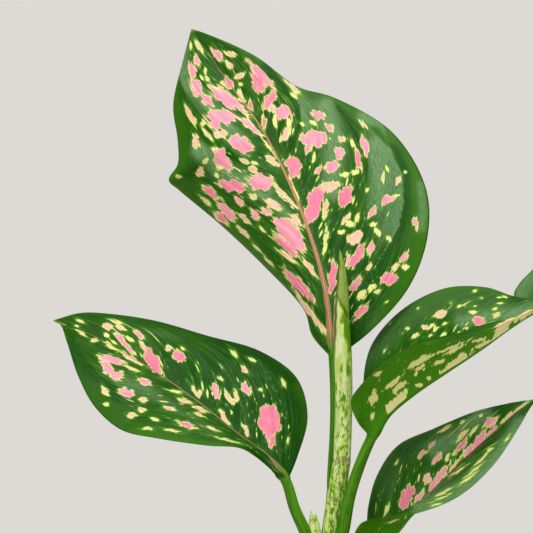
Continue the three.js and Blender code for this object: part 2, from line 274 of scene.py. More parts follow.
leafPaint = dict(
    deep=(0.010, 0.072, 0.002, 1), mid=(0.022, 0.122, 0.002, 1), edge=(0.036, 0.165, 0.001, 1),
    # on the next line, the second colour is a painted sheen and the third a painted shade for creases
    halo=(0.085, 0.28, 0.014, 1), bloomAndPaintedSheen=(0.185, 0.33, 0.145, 1), freshAndPaintedShade=(0.007, 0.078, 0.001, 1),
    veinLine=(0.075, 0.25, 0.022, 1), rim=(0.76, 0.82, 0.25, 1),
    under=(0.070, 0.310, 0.002, 1), underPatch=(1.0, 0.95, 0.40, 1),
    tones=[(0.0, (0.80, 0.80, 0.27)), (0.33, (0.93, 0.54, 0.38)), (0.66, (0.95, 0.34, 0.45)),
           (1.0, (0.86, 0.22, 0.34))],
    ribRose=(0.45, 0.17, 0.10, 1), ribPaintedHighlight=(0.72, 0.50, 0.36, 1), ribPlain=(0.16, 0.17, 0.035, 1),
    ribEdge=(0.62, 0.52, 0.20, 1),
    stalk=(0.080, 0.275, 0.003, 1), stalkDark=(0.040, 0.165, 0.002, 1), tip=(0.30, 0.34, 0.05, 1),
    veinGap=1.45, ragged=1.35, jitter=0.6, lobeScale=4.2, blockScale=8.5, paintedSheenMottleScale=9.0,
    bigSpots=dict(Scale=2.6, Share=0.5, Size=0.62), smallSpots=dict(Scale=5.6, Share=0.34, Size=0.9),
    veinWidth=0.03, veinShare=0.4, rough=(0.31, 0.41), underRougher=0.14, stalkRougher=0.16,
    bump=(0.28, 0.00035),  # strength, and depth in metres
)
leafGloss = {"Specular IOR Level": 0.18, "Specular Tint": (0.88, 1.0, 0.74, 1), "Subsurface Weight": 0.06,
             "Subsurface Radius": (0.6, 0.9, 0.2), "Subsurface Scale": 0.001}


# leafPlace holds signed cm from the midrib, cm along the spots' run and cm along the veins' run.
# leafZone holds the share of the width, the share of the length (below 0 on the stalk) and 1 underneath.
# leafMarks holds mm inside the nearest patch, the distance from the midrib in its own widths, and the painted
# light on the green: painted sheen above 0, painted shade beside creases and over darker zones below 0.
# leafTint holds the patch's tone from cream to deep pink, how rosy the midrib is, how ragged the patch is.
def makeLeafSkin():
    material, tree = newMaterial("leafSkin")
    paint = leafPaint
    across, run, veinRun = readParts(tree, "leafPlace")
    width, length, under = readParts(tree, "leafZone")
    patch, rib, paintedLight = readParts(tree, "leafMarks")
    tone, rose, rugged = readParts(tree, "leafTint")
    flat = joined(across, run)

    # ragged, blocky outlines for the patches, drawn out along the veins
    lobes = noise(stretched(flat, (0.85, 1.1, 1)), paint["lobeScale"], 2.0, 0.55, 0.3)
    lobes = fade(lobes, 0.0, 1.0, -paint["ragged"], paint["ragged"], "LINEAR")
    blocks = {"Vector": stretched(flat, (0.75, 1.15, 1)), "Scale": paint["blockScale"]}
    blocks = wire("ShaderNodeTexVoronoi", blocks).outputs["Color"]
    luck = wire("ShaderNodeSeparateColor", {0: blocks}).outputs[1]
    ragged = plus(lobes, times(minus(luck, 0.5), paint["jitter"]))
    patch = plus(patch, times(ragged, rugged))

    # the small cream spots between them, fewer towards the margin and in some places
    spots = useGroup("flecks", {"Vector": stretched(flat, (0.6, 1.2, 1)), **paint["bigSpots"]})
    dots = useGroup("flecks", {"Vector": stretched(flat, (0.75, 1.1, 1)), **paint["smallSpots"]})
    specks = times(calc("MAXIMUM", spots, dots), 10.0)  # from cm to mm, like the patches
    specks = minus(specks, fade(noise(flat, 0.9), 0.42, 0.62, 0.0, 0.5))
    specks = minus(specks, fade(width, 0.6, 0.92, 0.0, 1.4))
    specks = plus(specks, times(ragged, 0.35))
    depth = calc("MAXIMUM", patch, specks)
    depth = minus(depth, fade(length, 0.0, 0.03, 4.0, 0.0))  # none on the stalk

    # the green, from its streaks to its veins
    streak = useGroup("streaks", {"Vector": joined(run, across), "Fine": 4.0, "Length": 4.0})
    green = mixed(fade(streak, 0.3, 0.7), paint["deep"], paint["mid"])
    green = coat(green, paint["edge"], width, 0.72, 0.98, 0.0, 0.85)
    # painted sheen: a grey-green coat, finely mottled, where the painted light value is above 0
    paintedSheenMottle = noise(stretched(flat, (1, 0.6, 1)), paint["paintedSheenMottleScale"], 4.0, 0.75)
    paintedSheenMottle = times(fade(paintedLight, 0.0, 1.0), fade(paintedSheenMottle, 0.36, 0.64, 0.4, 1.0))
    green = mixed(paintedSheenMottle, green, paint["bloomAndPaintedSheen"])
    # painted shade: a deeper green where the painted light value is below 0, beside creases and over darker
    # zones
    green = coat(green, paint["freshAndPaintedShade"], paintedLight, 0.0, -1.0)
    line = calc("PINGPONG", calc("DIVIDE", veinRun, paint["veinGap"]), 0.5)
    line = times(fade(line, paint["veinWidth"], 0.0), fade(width, 0.03, 0.15, 0.0, paint["veinShare"]))
    green = mixed(line, green, paint["veinLine"])
    near = plus(depth, times(lobes, 0.5))
    green = coat(green, paint["halo"], near, -0.9, 0.0, 0.0, 0.55)
    green = mixed(times(under, 0.85), green, paint["under"])

    # the patches, with a cream rim around what is pink
    warm = plus(tone, fade(noise(flat, 3.0), 0.3, 0.7, -0.14, 0.14))
    spot = mixed(fade(patch, 0.14, 0.42), paint["rim"], ramp(warm, paint["tones"]))
    spot = mixed(times(under, 0.92), spot, paint["underPatch"])
    skin = mixed(fade(depth, -0.1, 0.12), green, spot)

    # the midrib, which turns into the stalk
    stalk = useGroup("streaks", {"Vector": flat, "Fine": 14.0, "Length": 9.0})
    stalk = mixed(fade(stalk, 0.4, 0.6), paint["stalkDark"], paint["stalk"])
    ribTone = mixed(rose, paint["ribPlain"], paint["ribRose"])
    # a painted highlight along the midrib's middle, stronger on rosier ribs
    shine = times(fade(rib, 0.38, 0.05), times(rose, 0.55))
    ribTone = mixed(shine, ribTone, paint["ribPaintedHighlight"])
    ribTone = coat(ribTone, paint["ribEdge"], rib, 0.8, 1.05, 0.0, 0.6)
    ribTone = mixed(under, ribTone, paint["under"])
    ribTone = mixed(fade(length, -0.01, 0.08), stalk, ribTone)
    skin = coat(skin, ribTone, rib, 1.12, 0.85)
    skin = coat(skin, stalk, length, 0.012, -0.004)
    skin = coat(skin, paint["tip"], length, 0.985, 1.0, 0.0, 0.8)

    grain = useGroup("grain", {"Vector": flat, "Scale": 26.0, "Depth": 0.5})
    ribs = times(noise(stretched(flat, (0.5, 3.0, 1)), 6.0), 0.25)
    rough = fade(noise(flat, 3.0), 0.3, 0.7, *paint["rough"])
    rough = plus(rough, times(under, paint["underRougher"]))
    rough = plus(rough, fade(length, 0.02, -0.01, 0.0, paint["stalkRougher"]))
    look = {"Base Color": skin, "Roughness": rough, **leafGloss}
    finishMaterial(tree, look, plus(grain, ribs), *paint["bump"])
    return material


shootPaint = dict(
    cream=(0.54, 0.67, 0.16, 1), pale=(0.72, 0.80, 0.40, 1), green=(0.105, 0.30, 0.004, 1),
    lime=(0.30, 0.52, 0.012, 1), olive=(0.075, 0.085, 0.012, 1), tipGreen=(0.17, 0.31, 0.004, 1),
    brown=(0.34, 0.22, 0.075, 1), scar=(0.26, 0.24, 0.06, 1), rough=(0.4, 0.5),
    coarseShare=0.62, scarShare=0.55, bump=(0.25, 0.0003),
)
shootGloss = {"Specular IOR Level": 0.34, "Specular Tint": (0.9, 1.0, 0.7, 1), "Subsurface Weight": 0.1,
              "Subsurface Radius": (0.8, 0.9, 0.3), "Subsurface Scale": 0.0012}


# shootMarks holds mm inside a green patch, mm inside a dark edge and how mottled the skin is.
# shootZone holds how much of the tip's green, of the brown lip and of a leaf scar there is.
def makeShootSkin():
    material, tree = newMaterial("shootSkin")
    paint = shootPaint
    place, cm = objectPlace(tree)
    long = stretched(place, (100, 100, 34))
    greens, dark, mottled = readParts(tree, "shootMarks")
    tip, lip, scar = readParts(tree, "shootZone")
    skin = mixed(fade(noise(long, 5.0, 3.0), 0.35, 0.65), paint["cream"], paint["pale"])
    coarse = noise(long, 7.0, 3.0, 0.62, 0.4)
    fine = noise(long, 15.0, 3.0, 0.6)
    level = plus(times(coarse, paint["coarseShare"]), times(fine, 1 - paint["coarseShare"]))
    level = minus(level, fade(mottled, 0.0, 1.0, 0.68, 0.46, "LINEAR"))
    greens = plus(greens, fade(coarse, 0.0, 1.0, -1.6, 1.6, "LINEAR"))
    level = calc("MAXIMUM", times(level, 12.0), greens)
    skin = coat(skin, paint["lime"], level, -0.35, 0.1)
    skin = coat(skin, paint["green"], level, 0.05, 0.5)
    skin = mixed(times(tip, fade(fine, 0.3, 0.62, 1.0, 0.72)), skin, paint["tipGreen"])
    skin = coat(skin, paint["olive"], dark, -0.3, 0.35, 0.0, 0.9)
    skin = mixed(lip, skin, paint["brown"])
    skin = mixed(times(scar, paint["scarShare"]), skin, paint["scar"])
    grain = useGroup("grain", {"Vector": long, "Scale": 22.0, "Depth": 0.8})
    rough = fade(noise(cm, 4.0), 0.3, 0.7, *paint["rough"])
    finishMaterial(tree, {"Base Color": skin, "Roughness": rough, **shootGloss}, grain, *paint["bump"])
    return material


# a centripetal curve through the points, read at shares of its length
def smoothLine(points, shares):
    p = np.array(points, float)
    p = np.vstack([2 * p[0] - p[1], p, 2 * p[-1] - p[-2]])
    t = np.linspace(0, 1, 24, endpoint=False)[:, None]
    fine = []
    for a, b, c, d in zip(p, p[1:], p[2:], p[3:]):
        g0, g1, g2 = (max(np.linalg.norm(v), 1e-6) ** 0.5 for v in (b - a, c - b, d - c))
        start = ((b - a) / g0 - (c - a) / (g0 + g1) + (c - b) / g1) * g1
        end = ((c - b) / g1 - (d - b) / (g1 + g2) + (d - c) / g2) * g1
        bend, twist = 3 * (c - b) - 2 * start - end, 2 * (b - c) + start + end
        fine.append(b + start * t + bend * t**2 + twist * t**3)
    fine = np.vstack([*fine, p[-2:-1]])
    reach = np.concatenate([[0], np.cumsum(np.linalg.norm(np.diff(fine, axis=0), axis=1))])
    at = np.asarray(shares) * reach[-1]
    return np.column_stack([np.interp(at, reach, fine[:, k]) for k in range(3)])


def lineLength(points):
    return np.linalg.norm(np.diff(smoothLine(points, np.linspace(0, 1, 200)), axis=0), axis=1).sum()


def unit(v):
    return v / np.maximum(np.linalg.norm(v, axis=-1, keepdims=True), 1e-9)


def ease(low, high, value):
    t = np.clip((np.asarray(value, float) - low) / (high - low), 0, 1)
    return t * t * (3 - 2 * t)


# faces of a tube of rings, each of that size, with both ends closed
def tubeFaces(rings, size):
    i, j = np.meshgrid(np.arange(rings - 1), np.arange(size), indexing="ij")
    k = (j + 1) % size
    here, there = i * size, (i + 1) * size
    quads = np.stack([here + j, here + k, there + k, there + j], -1).reshape(-1, 4)
    return quads.tolist() + [list(range(size))[::-1], list(range((rings - 1) * size, rings * size))]


def makePiece(name, points, faces, material, node, attributes=None):
    mesh = bpy.data.meshes.new(name)
    mesh.from_pydata((np.asarray(points) * mm).tolist(), [], faces)
    for key, values in (attributes or {}).items():
        layer = mesh.attributes.new(key, "FLOAT_VECTOR", "POINT")
        layer.data.foreach_set("vector", np.asarray(values, np.float32).ravel())
    work = bmesh.new()
    work.from_mesh(mesh)
    bmesh.ops.triangulate(work, faces=[f for f in work.faces if len(f.verts) > 4])
    bmesh.ops.recalc_face_normals(work, faces=work.faces)
    work.to_mesh(mesh)
    work.free()
    mesh.shade_smooth()
    mesh.materials.append(material)
    piece = bpy.data.objects.new(name, mesh)
    bpy.context.scene.collection.objects.link(piece)
    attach(piece, "root")
    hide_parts(node)
    return piece


leafForm = dict(
    core=5, coreTurn=80, halfAcross=42, along=150, crowding=1.05, stalkSteps=34,  # how finely it is meshed
    thickness=0.6, stalkRadius=(3.5, 2.7, 2.3), footShare=0.3, footDepth=0.85, footThinner=0.35,
    tipShare=0.999, pointFrom=0.9, ribTaper=0.8, ribTip=0.35, ribLeast=0.24, ribShownTaper=1.5,
    ridgeUp=0.35, ridgeDown=1.1, ridgeNarrow=1.6, ridgeFrom=0.07,
    spotLean=(0.3, 0.2), veinLean=(0.3, 0.25, 0.5), veinRise=0.62, veinGap=14.5,
    wrinkle=0.4, wrinkleAcross=(0.21, 0.13), wrinkleAlong=(19, 31),
    calmAtRib=0.12, calmAtMargin=0.8, calmAtBase=0.1, calmAtTip=0.85,  # where the relief dies away
)
habit = dict(
    baseFullness=0.55, tipTaper=0.95, stations=10, stalkSteps=4, neck=1.5, point=0.3, opening=0.5,
    waves=1.6, bow=0.05, thin=0.85,
)

# Each outline is measured as [right, up, back].
measuredLeaves = {
    "top_leaf": dict(
        midrib=[[-30, 287, 5], [-34, 317, 11], [-44, 349, 22], [-60.5, 384, 38], [-78, 409, 54],
                [-93.6, 432, 70]],
        left=[[-32, 285, 5], [-39.5, 294, 12], [-43, 305, 18], [-60.5, 324.5, 32], [-81, 344, 44],
              [-99, 359, 48], [-104, 364, 42], [-100, 371, 46], [-100, 382, 52], [-102, 397.5, 58],
              [-97.5, 418, 65], [-93.9, 431.5, 70]],
        right=[[-27, 285, 5], [-13, 296, 2], [4, 315.5, 6], [12.5, 338.5, 16], [11.5, 361, 28],
               [-3.5, 385.5, 40], [-29.5, 401, 48], [-46, 406, 52], [-65.5, 420, 57], [-88.5, 430.3, 67],
               [-93.3, 431.7, 70]],
        stalk=[[-31, 212, 3], [-29.5, 235, 5], [-28.8, 262, 5.5]],
        bow=(8, 4)),
    "left_leaf": dict(
        midrib=[[-51.5, 229, -2], [-58.5, 238.5, 0], [-72.5, 249, 5], [-88.5, 262, 12], [-105, 274, 20],
                [-121, 284, 28], [-137, 293, 35], [-156, 300.6, 42]],
        left=[[-53.5, 229.5, -3], [-64.5, 239, -5], [-72, 243.2, -10], [-87, 244.4, -16],
              [-109.5, 247.7, -14], [-125, 251.3, -8], [-137, 261.5, 2], [-144.5, 275, 14],
              [-150, 291.5, 30], [-153, 299, 40], [-155.8, 300.3, 42]],
        right=[[-50, 229.5, -1], [-46, 239.5, 6], [-41.5, 257.5, 16], [-46.5, 275, 26], [-63, 287, 34],
               [-87, 294, 40], [-109.5, 300.5, 44], [-127.5, 303.4, 45], [-143, 304.2, 44],
               [-155.8, 300.9, 42]],
        stalk=[[-34, 185, -3], [-42.3, 205, -5], [-47.3, 216, -4]],
        bow=(2, 5)),
    "right_upper_leaf": dict(
        midrib=[[-12.5, 248.5, -9], [-6.8, 259, -11], [4.8, 268.8, -15], [20.3, 279, -20], [36, 289, -25],
                [49, 298, -29], [60, 304.5, -32], [74, 309.5, -36]],
        left=[[-12.5, 250, -7], [-15.5, 262, 4], [-16.3, 275, 10], [-13.3, 288.5, 14], [-5.5, 299.7, 15],
              [6, 309, 14], [21.5, 315.5, 9], [38.5, 315.7, 0], [50, 312, -12], [60, 309.8, -24],
              [74, 309.8, -36]],
        right=[[-14.5, 249.5, -11], [-19, 255, -19], [-22, 264.5, -28], [-17, 272.3, -36], [-8, 280.7, -43],
               [3, 287.5, -47], [18.5, 291.2, -49], [35.5, 294.8, -47], [51, 301, -43], [60, 305.3, -41],
               [74, 309.2, -36]],
        stalk=[[-29, 190, -7], [-25.5, 207, -8], [-22.5, 222, -9], [-17.5, 237, -9]],
        bow=(4, 5)),
    "right_lower_leaf": dict(
        midrib=[[-20, 196, -2], [-6, 203.5, -2], [4, 214, -1], [13.7, 222.7, 0], [29, 238, 3],
                [44.5, 252, 6], [54, 260.5, 9], [61.5, 265.2, 12]],
        left=[[-20, 198, 0], [-15.5, 206, 8], [-14.2, 217.3, 14], [-10.3, 231, 20], [-1, 244.4, 24],
              [15, 252, 25], [35.3, 260.2, 20], [52.4, 263.9, 14], [61.3, 265.4, 12]],
        right=[[-20.5, 196.5, -5], [-21, 203, -10], [-17, 209.8, -14], [-5, 212, -20], [7.5, 213.8, -26],
               [26, 221.2, -26], [41, 234.3, -18], [52.4, 250.5, -2], [58.5, 261, 9], [61.3, 264.8, 12]],
        stalk=[[-31, 172, 0], [-27, 182, -1]],
        bow=(4, 2)),
    "side_shoot_top_leaf": dict(
        midrib=[[90, 290, 50], [98, 308, 52], [110, 335, 58], [128, 370, 68], [160, 412, 84]],
        left=[[88, 290, 49], [74, 297, 46], [62, 305.5, 45], [55, 308, 45], [51.3, 312, 46], [53.5, 317, 47],
              [61, 325, 50], [78, 346, 56], [100, 372, 64], [128, 396, 74], [159.5, 412.5, 84]],
        right=[[92, 290, 50], [112, 296, 46], [135, 318, 46], [146, 345, 52], [152, 375, 64],
               [160.5, 411.5, 84]],
        stalk=[[85, 238, 46], [88, 262, 49]],
        bow=(6, 5)),
}

# Angles are in degrees. pitch is at the stem, at the blade's base and at its tip.
habitLeaves = {
    "side_shoot_right_leaf": dict(root=(88, 36, 232), heading=4, pitch=(62, 38, -12), stalk=52, length=128,
                                  width=76, fold=20, roll=-12, wave=4, turn=-14),
    "side_shoot_back_leaf": dict(root=(80, 42, 222), heading=74, pitch=(58, 34, -18), stalk=50, length=120,
                                 width=65, fold=18, roll=10, wave=4, turn=16),
    "side_shoot_front_leaf": dict(root=(74, 28, 212), heading=-42, pitch=(44, 20, -36), stalk=48, length=118,
                                  width=70, fold=14, roll=6, wave=3, turn=-18),
    "side_shoot_lower_leaf": dict(root=(59, 18, 176), heading=20, pitch=(34, 6, -40), stalk=44, length=108,
                                  width=62, fold=14, roll=-8, wave=3, turn=16),
    "lower_front_leaf": dict(root=(-36, -6, 150), heading=-68, pitch=(44, 8, -42), stalk=42, length=112,
                             width=64, fold=16, roll=4, wave=3, turn=-16),
    "lower_left_leaf": dict(root=(-41, -2, 158), heading=196, pitch=(34, 2, -40), stalk=40, length=108,
                            width=62, fold=16, roll=8, wave=3, turn=20),
    "lower_back_leaf": dict(root=(-37, 6, 146), heading=108, pitch=(42, 8, -40), stalk=44, length=110,
                            width=64, fold=16, roll=-6, wave=3, turn=-12),
}

# The patches that show, by tone: x and y of the middle, length and width in the photograph's pixels, and
# the slant in degrees, anticlockwise from level. "left" and "right" are the halves of a folded leaf.
tones = dict(cream=0.0, peach=0.36, pink=0.68, hot=1.0)
patchForm = dict(
    blend=6.0,  # how sharply patches that touch stay apart
    outside=-4.0,  # the depth, in mm, that counts as far from every patch
    bend=0.11, bendWidth=4.5, inPhoto=2.6, onLeaf=1.2,  # how far and how finely their outlines are bent
    plain=0.2, fullyRagged=5,  # how ragged the narrowest patch is, and the width in mm that is fully so
    perHalf=30,
)
photoPatches = {
    ("top_leaf", "both"): dict(
        cream=[
            (191, 46, 8, 2.5, -80), (205.5, 72, 8, 3, -80), (202, 78, 6, 3, -60), (241, 84, 5, 4, 0),
            (204, 123, 6, 5, 0), (205, 161, 7, 5, 20), (179, 176, 6, 4, 0), (220, 166.5, 8, 6, 0),
            (217, 175, 8, 4, -60), (263, 229.5, 10, 3, -42), (253, 196, 10, 7, -20), (294, 96, 9, 3, -40),
            (275, 122, 14, 4, -85), (289, 123, 10, 6, 80), (314, 158, 10, 5, 90), (325.5, 242, 32, 4.5, 85),
            (350, 225, 10, 6, 0), (357, 218, 12, 4, 75), (341, 232, 8, 5, 0), (373, 225, 7, 5, 0),
            (377, 232, 10, 6, -60), (389, 239, 7, 5, -60), (397.5, 196, 6, 4, 0), (387, 169, 7, 3, -65),
            (368, 189.5, 6, 3, 60), (404.5, 172, 5, 4, 0), (405, 267, 8, 6, 0), (372, 288, 9, 5, 30),
            (362, 295, 12, 6, 50), (378, 292, 8, 4, 45), (387, 302, 5, 2, 30), (313, 123, 8, 4, -20),
            (302.5, 124, 7, 3, -35), (345, 175, 8, 6, 0), (354.5, 172.5, 7, 5, 0), (262, 138, 56, 2.2, -54),
            (295, 190, 34, 1.8, -68),
        ],
        peach=[
            (230, 54, 14, 5, -20), (230, 65, 10, 6, -48), (199, 47, 15, 4, -58), (207.6, 79, 7, 5, -60),
            (240, 76, 12, 6, 30), (223, 84, 6, 4, -50), (241, 96, 17, 6, -65), (191, 116, 25, 6, -62),
            (196, 142, 15, 7, -80), (207, 134.5, 19, 4, -50), (221, 135, 13, 9, -10), (200, 172, 11, 8, 50),
            (253, 169, 9, 7, 0), (244.5, 161, 13, 4, -35), (254, 162.5, 8, 3, -25), (272, 161, 16, 7, -45),
            (206, 201, 16, 3.5, -42), (218, 219, 10, 2.5, -42), (274, 205, 22, 8, -30),
            (284, 195.5, 36, 6, -48), (244, 218, 20, 4.5, -40), (244, 232, 22, 4, -45),
            (288, 257, 30, 4, -35), (258, 249, 12, 3, -45), (269, 261, 16, 3, -48), (296, 221, 18, 8, -50),
            (309.5, 267, 26, 6, -55), (312, 314.5, 60, 5, -54), (293, 88, 22, 4, -42),
            (274, 109, 10, 8, -20), (285.5, 134.5, 18, 8, 50), (330, 187, 22, 10, 10),
            (325.5, 210, 20, 5, 80), (346.5, 219, 12, 5, 60), (355, 238, 16, 12, 30), (369, 267, 8, 5, 60),
            (398, 181, 8, 5, 60), (383, 177.5, 11, 4, 90), (395, 267, 10, 5, 55), (342, 139, 10, 6, -10),
            (352.5, 143.5, 12, 3, -65), (363, 124.5, 11, 4, -45),
        ],
        pink=[
            (217, 55, 17, 7, -49), (261, 75, 41, 7, -45), (197, 61, 13, 6, -68), (192.5, 70, 16, 8, -80),
            (197, 88, 20, 11, -65), (207, 100, 15, 9, -45), (222.5, 98, 40, 9, -40),
            (232, 100.5, 40, 8, -42), (221, 117, 34, 14, -5), (215, 125, 14, 10, -30),
            (251, 127, 28, 7, -38), (241, 144, 26, 16, -30), (222, 159, 30, 13, -55),
            (260, 182, 26, 16, -10), (227, 211, 27, 8, -45), (239, 201, 11, 7, -50), (255, 214, 13, 8, -50),
            (267, 212, 13, 6, -35), (290, 234, 44, 18, -48), (283, 113, 18, 14, 0), (331, 167, 16, 11, 20),
            (319, 170, 10, 7, 50), (339.5, 153.5, 13, 11, 0), (365, 146, 20, 8, -78), (371, 248, 14, 7, 75),
            (348, 261, 16, 5, 85), (355, 284, 18, 8, 55), (387, 200, 14, 9, 30), (372, 212.5, 16, 6, 50),
            (416, 223, 12, 6, 85), (404.5, 257, 13, 7, 65), (319, 115.5, 14, 9, -25),
            (330, 128, 12, 7, -45), (314.5, 139, 28, 16, -5), (308, 149, 10, 7, 70),
        ],
        hot=[
            (258, 83, 22, 12, -68), (229, 83, 12, 9, -70), (251, 106, 12, 6, -75), (233, 186, 32, 11, -10),
            (211, 192, 24, 7, -38), (222, 218, 20, 6, -43), (287, 246, 36, 8, -42), (299, 285, 47, 9, -47),
            (269, 101, 24, 9, 55), (264, 123, 18, 5, -85), (293.6, 167, 24, 14, -75),
            (314, 205, 42, 15, 72), (345, 197, 22, 14, 65), (358.5, 160.5, 23, 6, -77),
            (358, 256, 28, 10, 55), (332.5, 277.5, 34, 9, 85), (389, 279, 18, 12, 15),
            (360.5, 312, 22, 7, 50),
        ]),
    ("left_leaf", "both"): dict(
        cream=[
            (80, 321, 9, 3, -25), (77, 326, 5, 2.5, 0), (107, 335, 8, 5, -30), (114, 342, 7, 3, -40),
            (130, 339, 10, 4, -40), (109, 345.5, 14, 4, -38), (183, 349, 7, 3, -45), (107, 404, 6, 4, 0),
            (155, 419.5, 8, 3, -15), (175, 392, 14, 3, -15), (234, 354, 11, 3.5, -50),
            (252, 360, 8, 3, -20), (261, 390, 6, 4, -30), (283, 383, 10, 4, -60), (288, 440, 8, 2.5, 80),
        ],
        peach=[
            (81, 333, 13, 3, -35), (94, 341, 8, 4, 0), (108, 327, 10, 6, -20), (116, 322, 14, 3, -20),
            (121, 328, 13, 4, -28), (129, 357.5, 30, 4.5, -32), (132, 369, 16, 3, -20),
            (143, 346, 12, 5, -60), (168, 348, 7, 6, 0), (105, 391, 12, 5, -55), (143, 400, 10, 5, -10),
            (142, 410, 9, 5, -10), (132, 415.5, 11, 5, -8), (148, 429, 11, 3.5, 0), (172, 431, 16, 3, -10),
            (244.5, 369.5, 12, 5, -50), (220.5, 379, 8, 3.5, -30), (194.5, 391, 14, 4, -65),
            (200, 393.5, 10, 4, 70), (228, 396.5, 15, 4.5, -60), (236, 395.5, 12, 4, -70),
            (234, 402, 6, 5, 0), (224, 417, 18, 6, -60), (245.5, 430, 14, 5, -65), (198, 415, 10, 4, -20),
            (200, 410, 14, 4, -25), (212, 429, 16, 3, -22), (185, 401.5, 16, 4, -20),
            (227, 440.5, 26, 2, -15),
        ],
        pink=[
            (139, 335, 13, 5, -35), (124.5, 343, 30, 6, -48), (112, 360, 28, 8, -15),
            (108, 369, 26, 9, -52), (119, 375.5, 12, 8, -10), (144, 382, 17, 6, -25),
            (126, 393, 17, 9, -22), (170, 409, 12, 4, -15), (216, 391, 16, 9, -80), (246, 389, 16, 8, -70),
        ],
        hot=[
            (153, 362, 34, 12, -55), (179, 356, 14, 11, -50), (186, 425.5, 21, 6, -20),
            (269.5, 421, 34, 22, -85), (271, 442, 14, 7, 90),
        ]),
    ("right_upper_leaf", "left"): dict(
        cream=[
            (473, 312.5, 8, 3.5, 0), (416, 336, 9, 4, 40), (435.5, 329.5, 6, 4, 50), (431, 335.5, 6, 3, 30),
            (443.5, 335, 9, 4, 40), (451, 303, 6, 2.5, 25), (475, 292, 6, 3, 20), (385, 350.5, 6, 3, 75),
            (390, 324, 5, 1.5, 50), (459.4, 306.6, 5, 2.6, 25), (465.3, 305.7, 4, 2.2, 20),
            (475, 306.6, 5, 2.2, 15), (445.8, 324, 6, 3, 30), (432.2, 325.7, 5, 4, 20),
            (459, 332.5, 5, 3, 30), (466.2, 328.6, 6, 3, 35), (407.6, 328.6, 5, 3, 40),
            (418.2, 308.3, 4, 2, 30), (481.8, 298.5, 4, 2, 10), (495.4, 309.1, 5, 2.2, 15),
            (500, 303.6, 7, 2, 8), (505.2, 297.3, 6, 2, -12), (499.2, 298.1, 5, 2, 0),
            (497.5, 316.5, 9, 2.2, 25),
        ],
        peach=[
            (441, 314, 15, 7, 28), (496, 314.5, 9, 3, 20), (426, 328, 10, 6, 10), (459.5, 336, 9, 4, 30),
            (523, 315, 20, 3, 28),
        ],
        pink=[
            (504, 324, 24, 5, 28),
        ],
        hot=[
            (479, 321, 15, 9, 5),
        ]),
    ("right_upper_leaf", "right"): dict(
        pink=[
            (504, 324.5, 24, 5, 28), (523, 315, 20, 3, 28),
        ],
        peach=[
            (378, 373.5, 10, 4, 35), (373.5, 397, 14, 8, 75), (372, 416, 8, 3.5, 85),
            (393.5, 382, 25, 4.5, 40), (398, 387.5, 20, 6, 43), (395.5, 401.5, 31, 8.5, 45),
            (418.5, 361, 28, 6.5, 29), (445, 349.5, 52, 2.2, 23), (454, 349.5, 22, 3.6, 27),
            (438, 362, 15, 4, 28), (419.5, 367, 12, 3.5, 30), (415.5, 373.5, 5, 3, 60),
            (418, 383, 6, 2.5, 20), (428.5, 375.5, 4, 2.4, 20), (456, 360.5, 38, 6, 34),
            (431, 379.5, 44, 2.6, 31), (480, 339, 14, 3.2, 20), (483, 342, 28, 2.2, 28),
            (500, 330.5, 18, 4, 34),
        ]),
    ("right_lower_leaf", "left"): dict(
        cream=[
            (462.5, 422.5, 5, 3, 30), (481, 416, 5, 3, 30), (448, 458, 10, 4, 60), (474, 431, 12, 3, 48),
            (387, 509.5, 14, 4, 72), (397, 463, 6, 3, 60),
        ],
        peach=[
            (445, 429, 15, 4, 30), (427, 479, 13, 7, 55), (454, 466, 20, 4, 55), (462, 436, 20, 4, 48),
            (513.5, 413.5, 36, 4, 38), (510, 420.5, 28, 3.5, 45),
        ],
        pink=[
            (432, 445, 10, 5, 40), (422.5, 454.5, 13, 5, 38), (437, 459, 16, 6, 55),
            (420, 495.5, 14, 6, 55), (438.5, 478, 36, 7, 54), (467, 452, 18, 6, 65),
            (479.5, 441.5, 32, 8, 60), (490, 423, 18, 8, 40), (492.5, 432.5, 16, 8, 50),
        ],
        hot=[
            (407, 498, 26, 13, 70), (461.5, 446.5, 20, 6, 50),
        ]),
    ("right_lower_leaf", "right"): dict(
        cream=[
            (445, 492, 26, 2.0, 28), (440, 499, 24, 1.8, 24), (474, 471, 24, 2.0, 40),
            (470, 478, 26, 1.8, 38), (482, 459, 28, 2.0, 44), (506.5, 439.5, 12, 2.2, 50),
            (490, 449.5, 5, 2.5, 30), (458, 472, 18, 1.6, 36), (436, 505, 16, 1.6, 18),
            (392, 521, 14, 2.5, 15),
        ]),
}
# creases in the top leaf's right half, as lines across the photograph
outerCrease = [(352, 300), (368, 281), (386, 251), (399, 228), (404, 204), (403, 175), (393, 151),
               (376, 134)]
innerCrease = [(344, 208), (356, 189), (362, 167), (361, 151), (350, 126), (337, 108)]
creases = [outerCrease, innerCrease]
creaseForm = dict(width=4.5, depth=0.7)
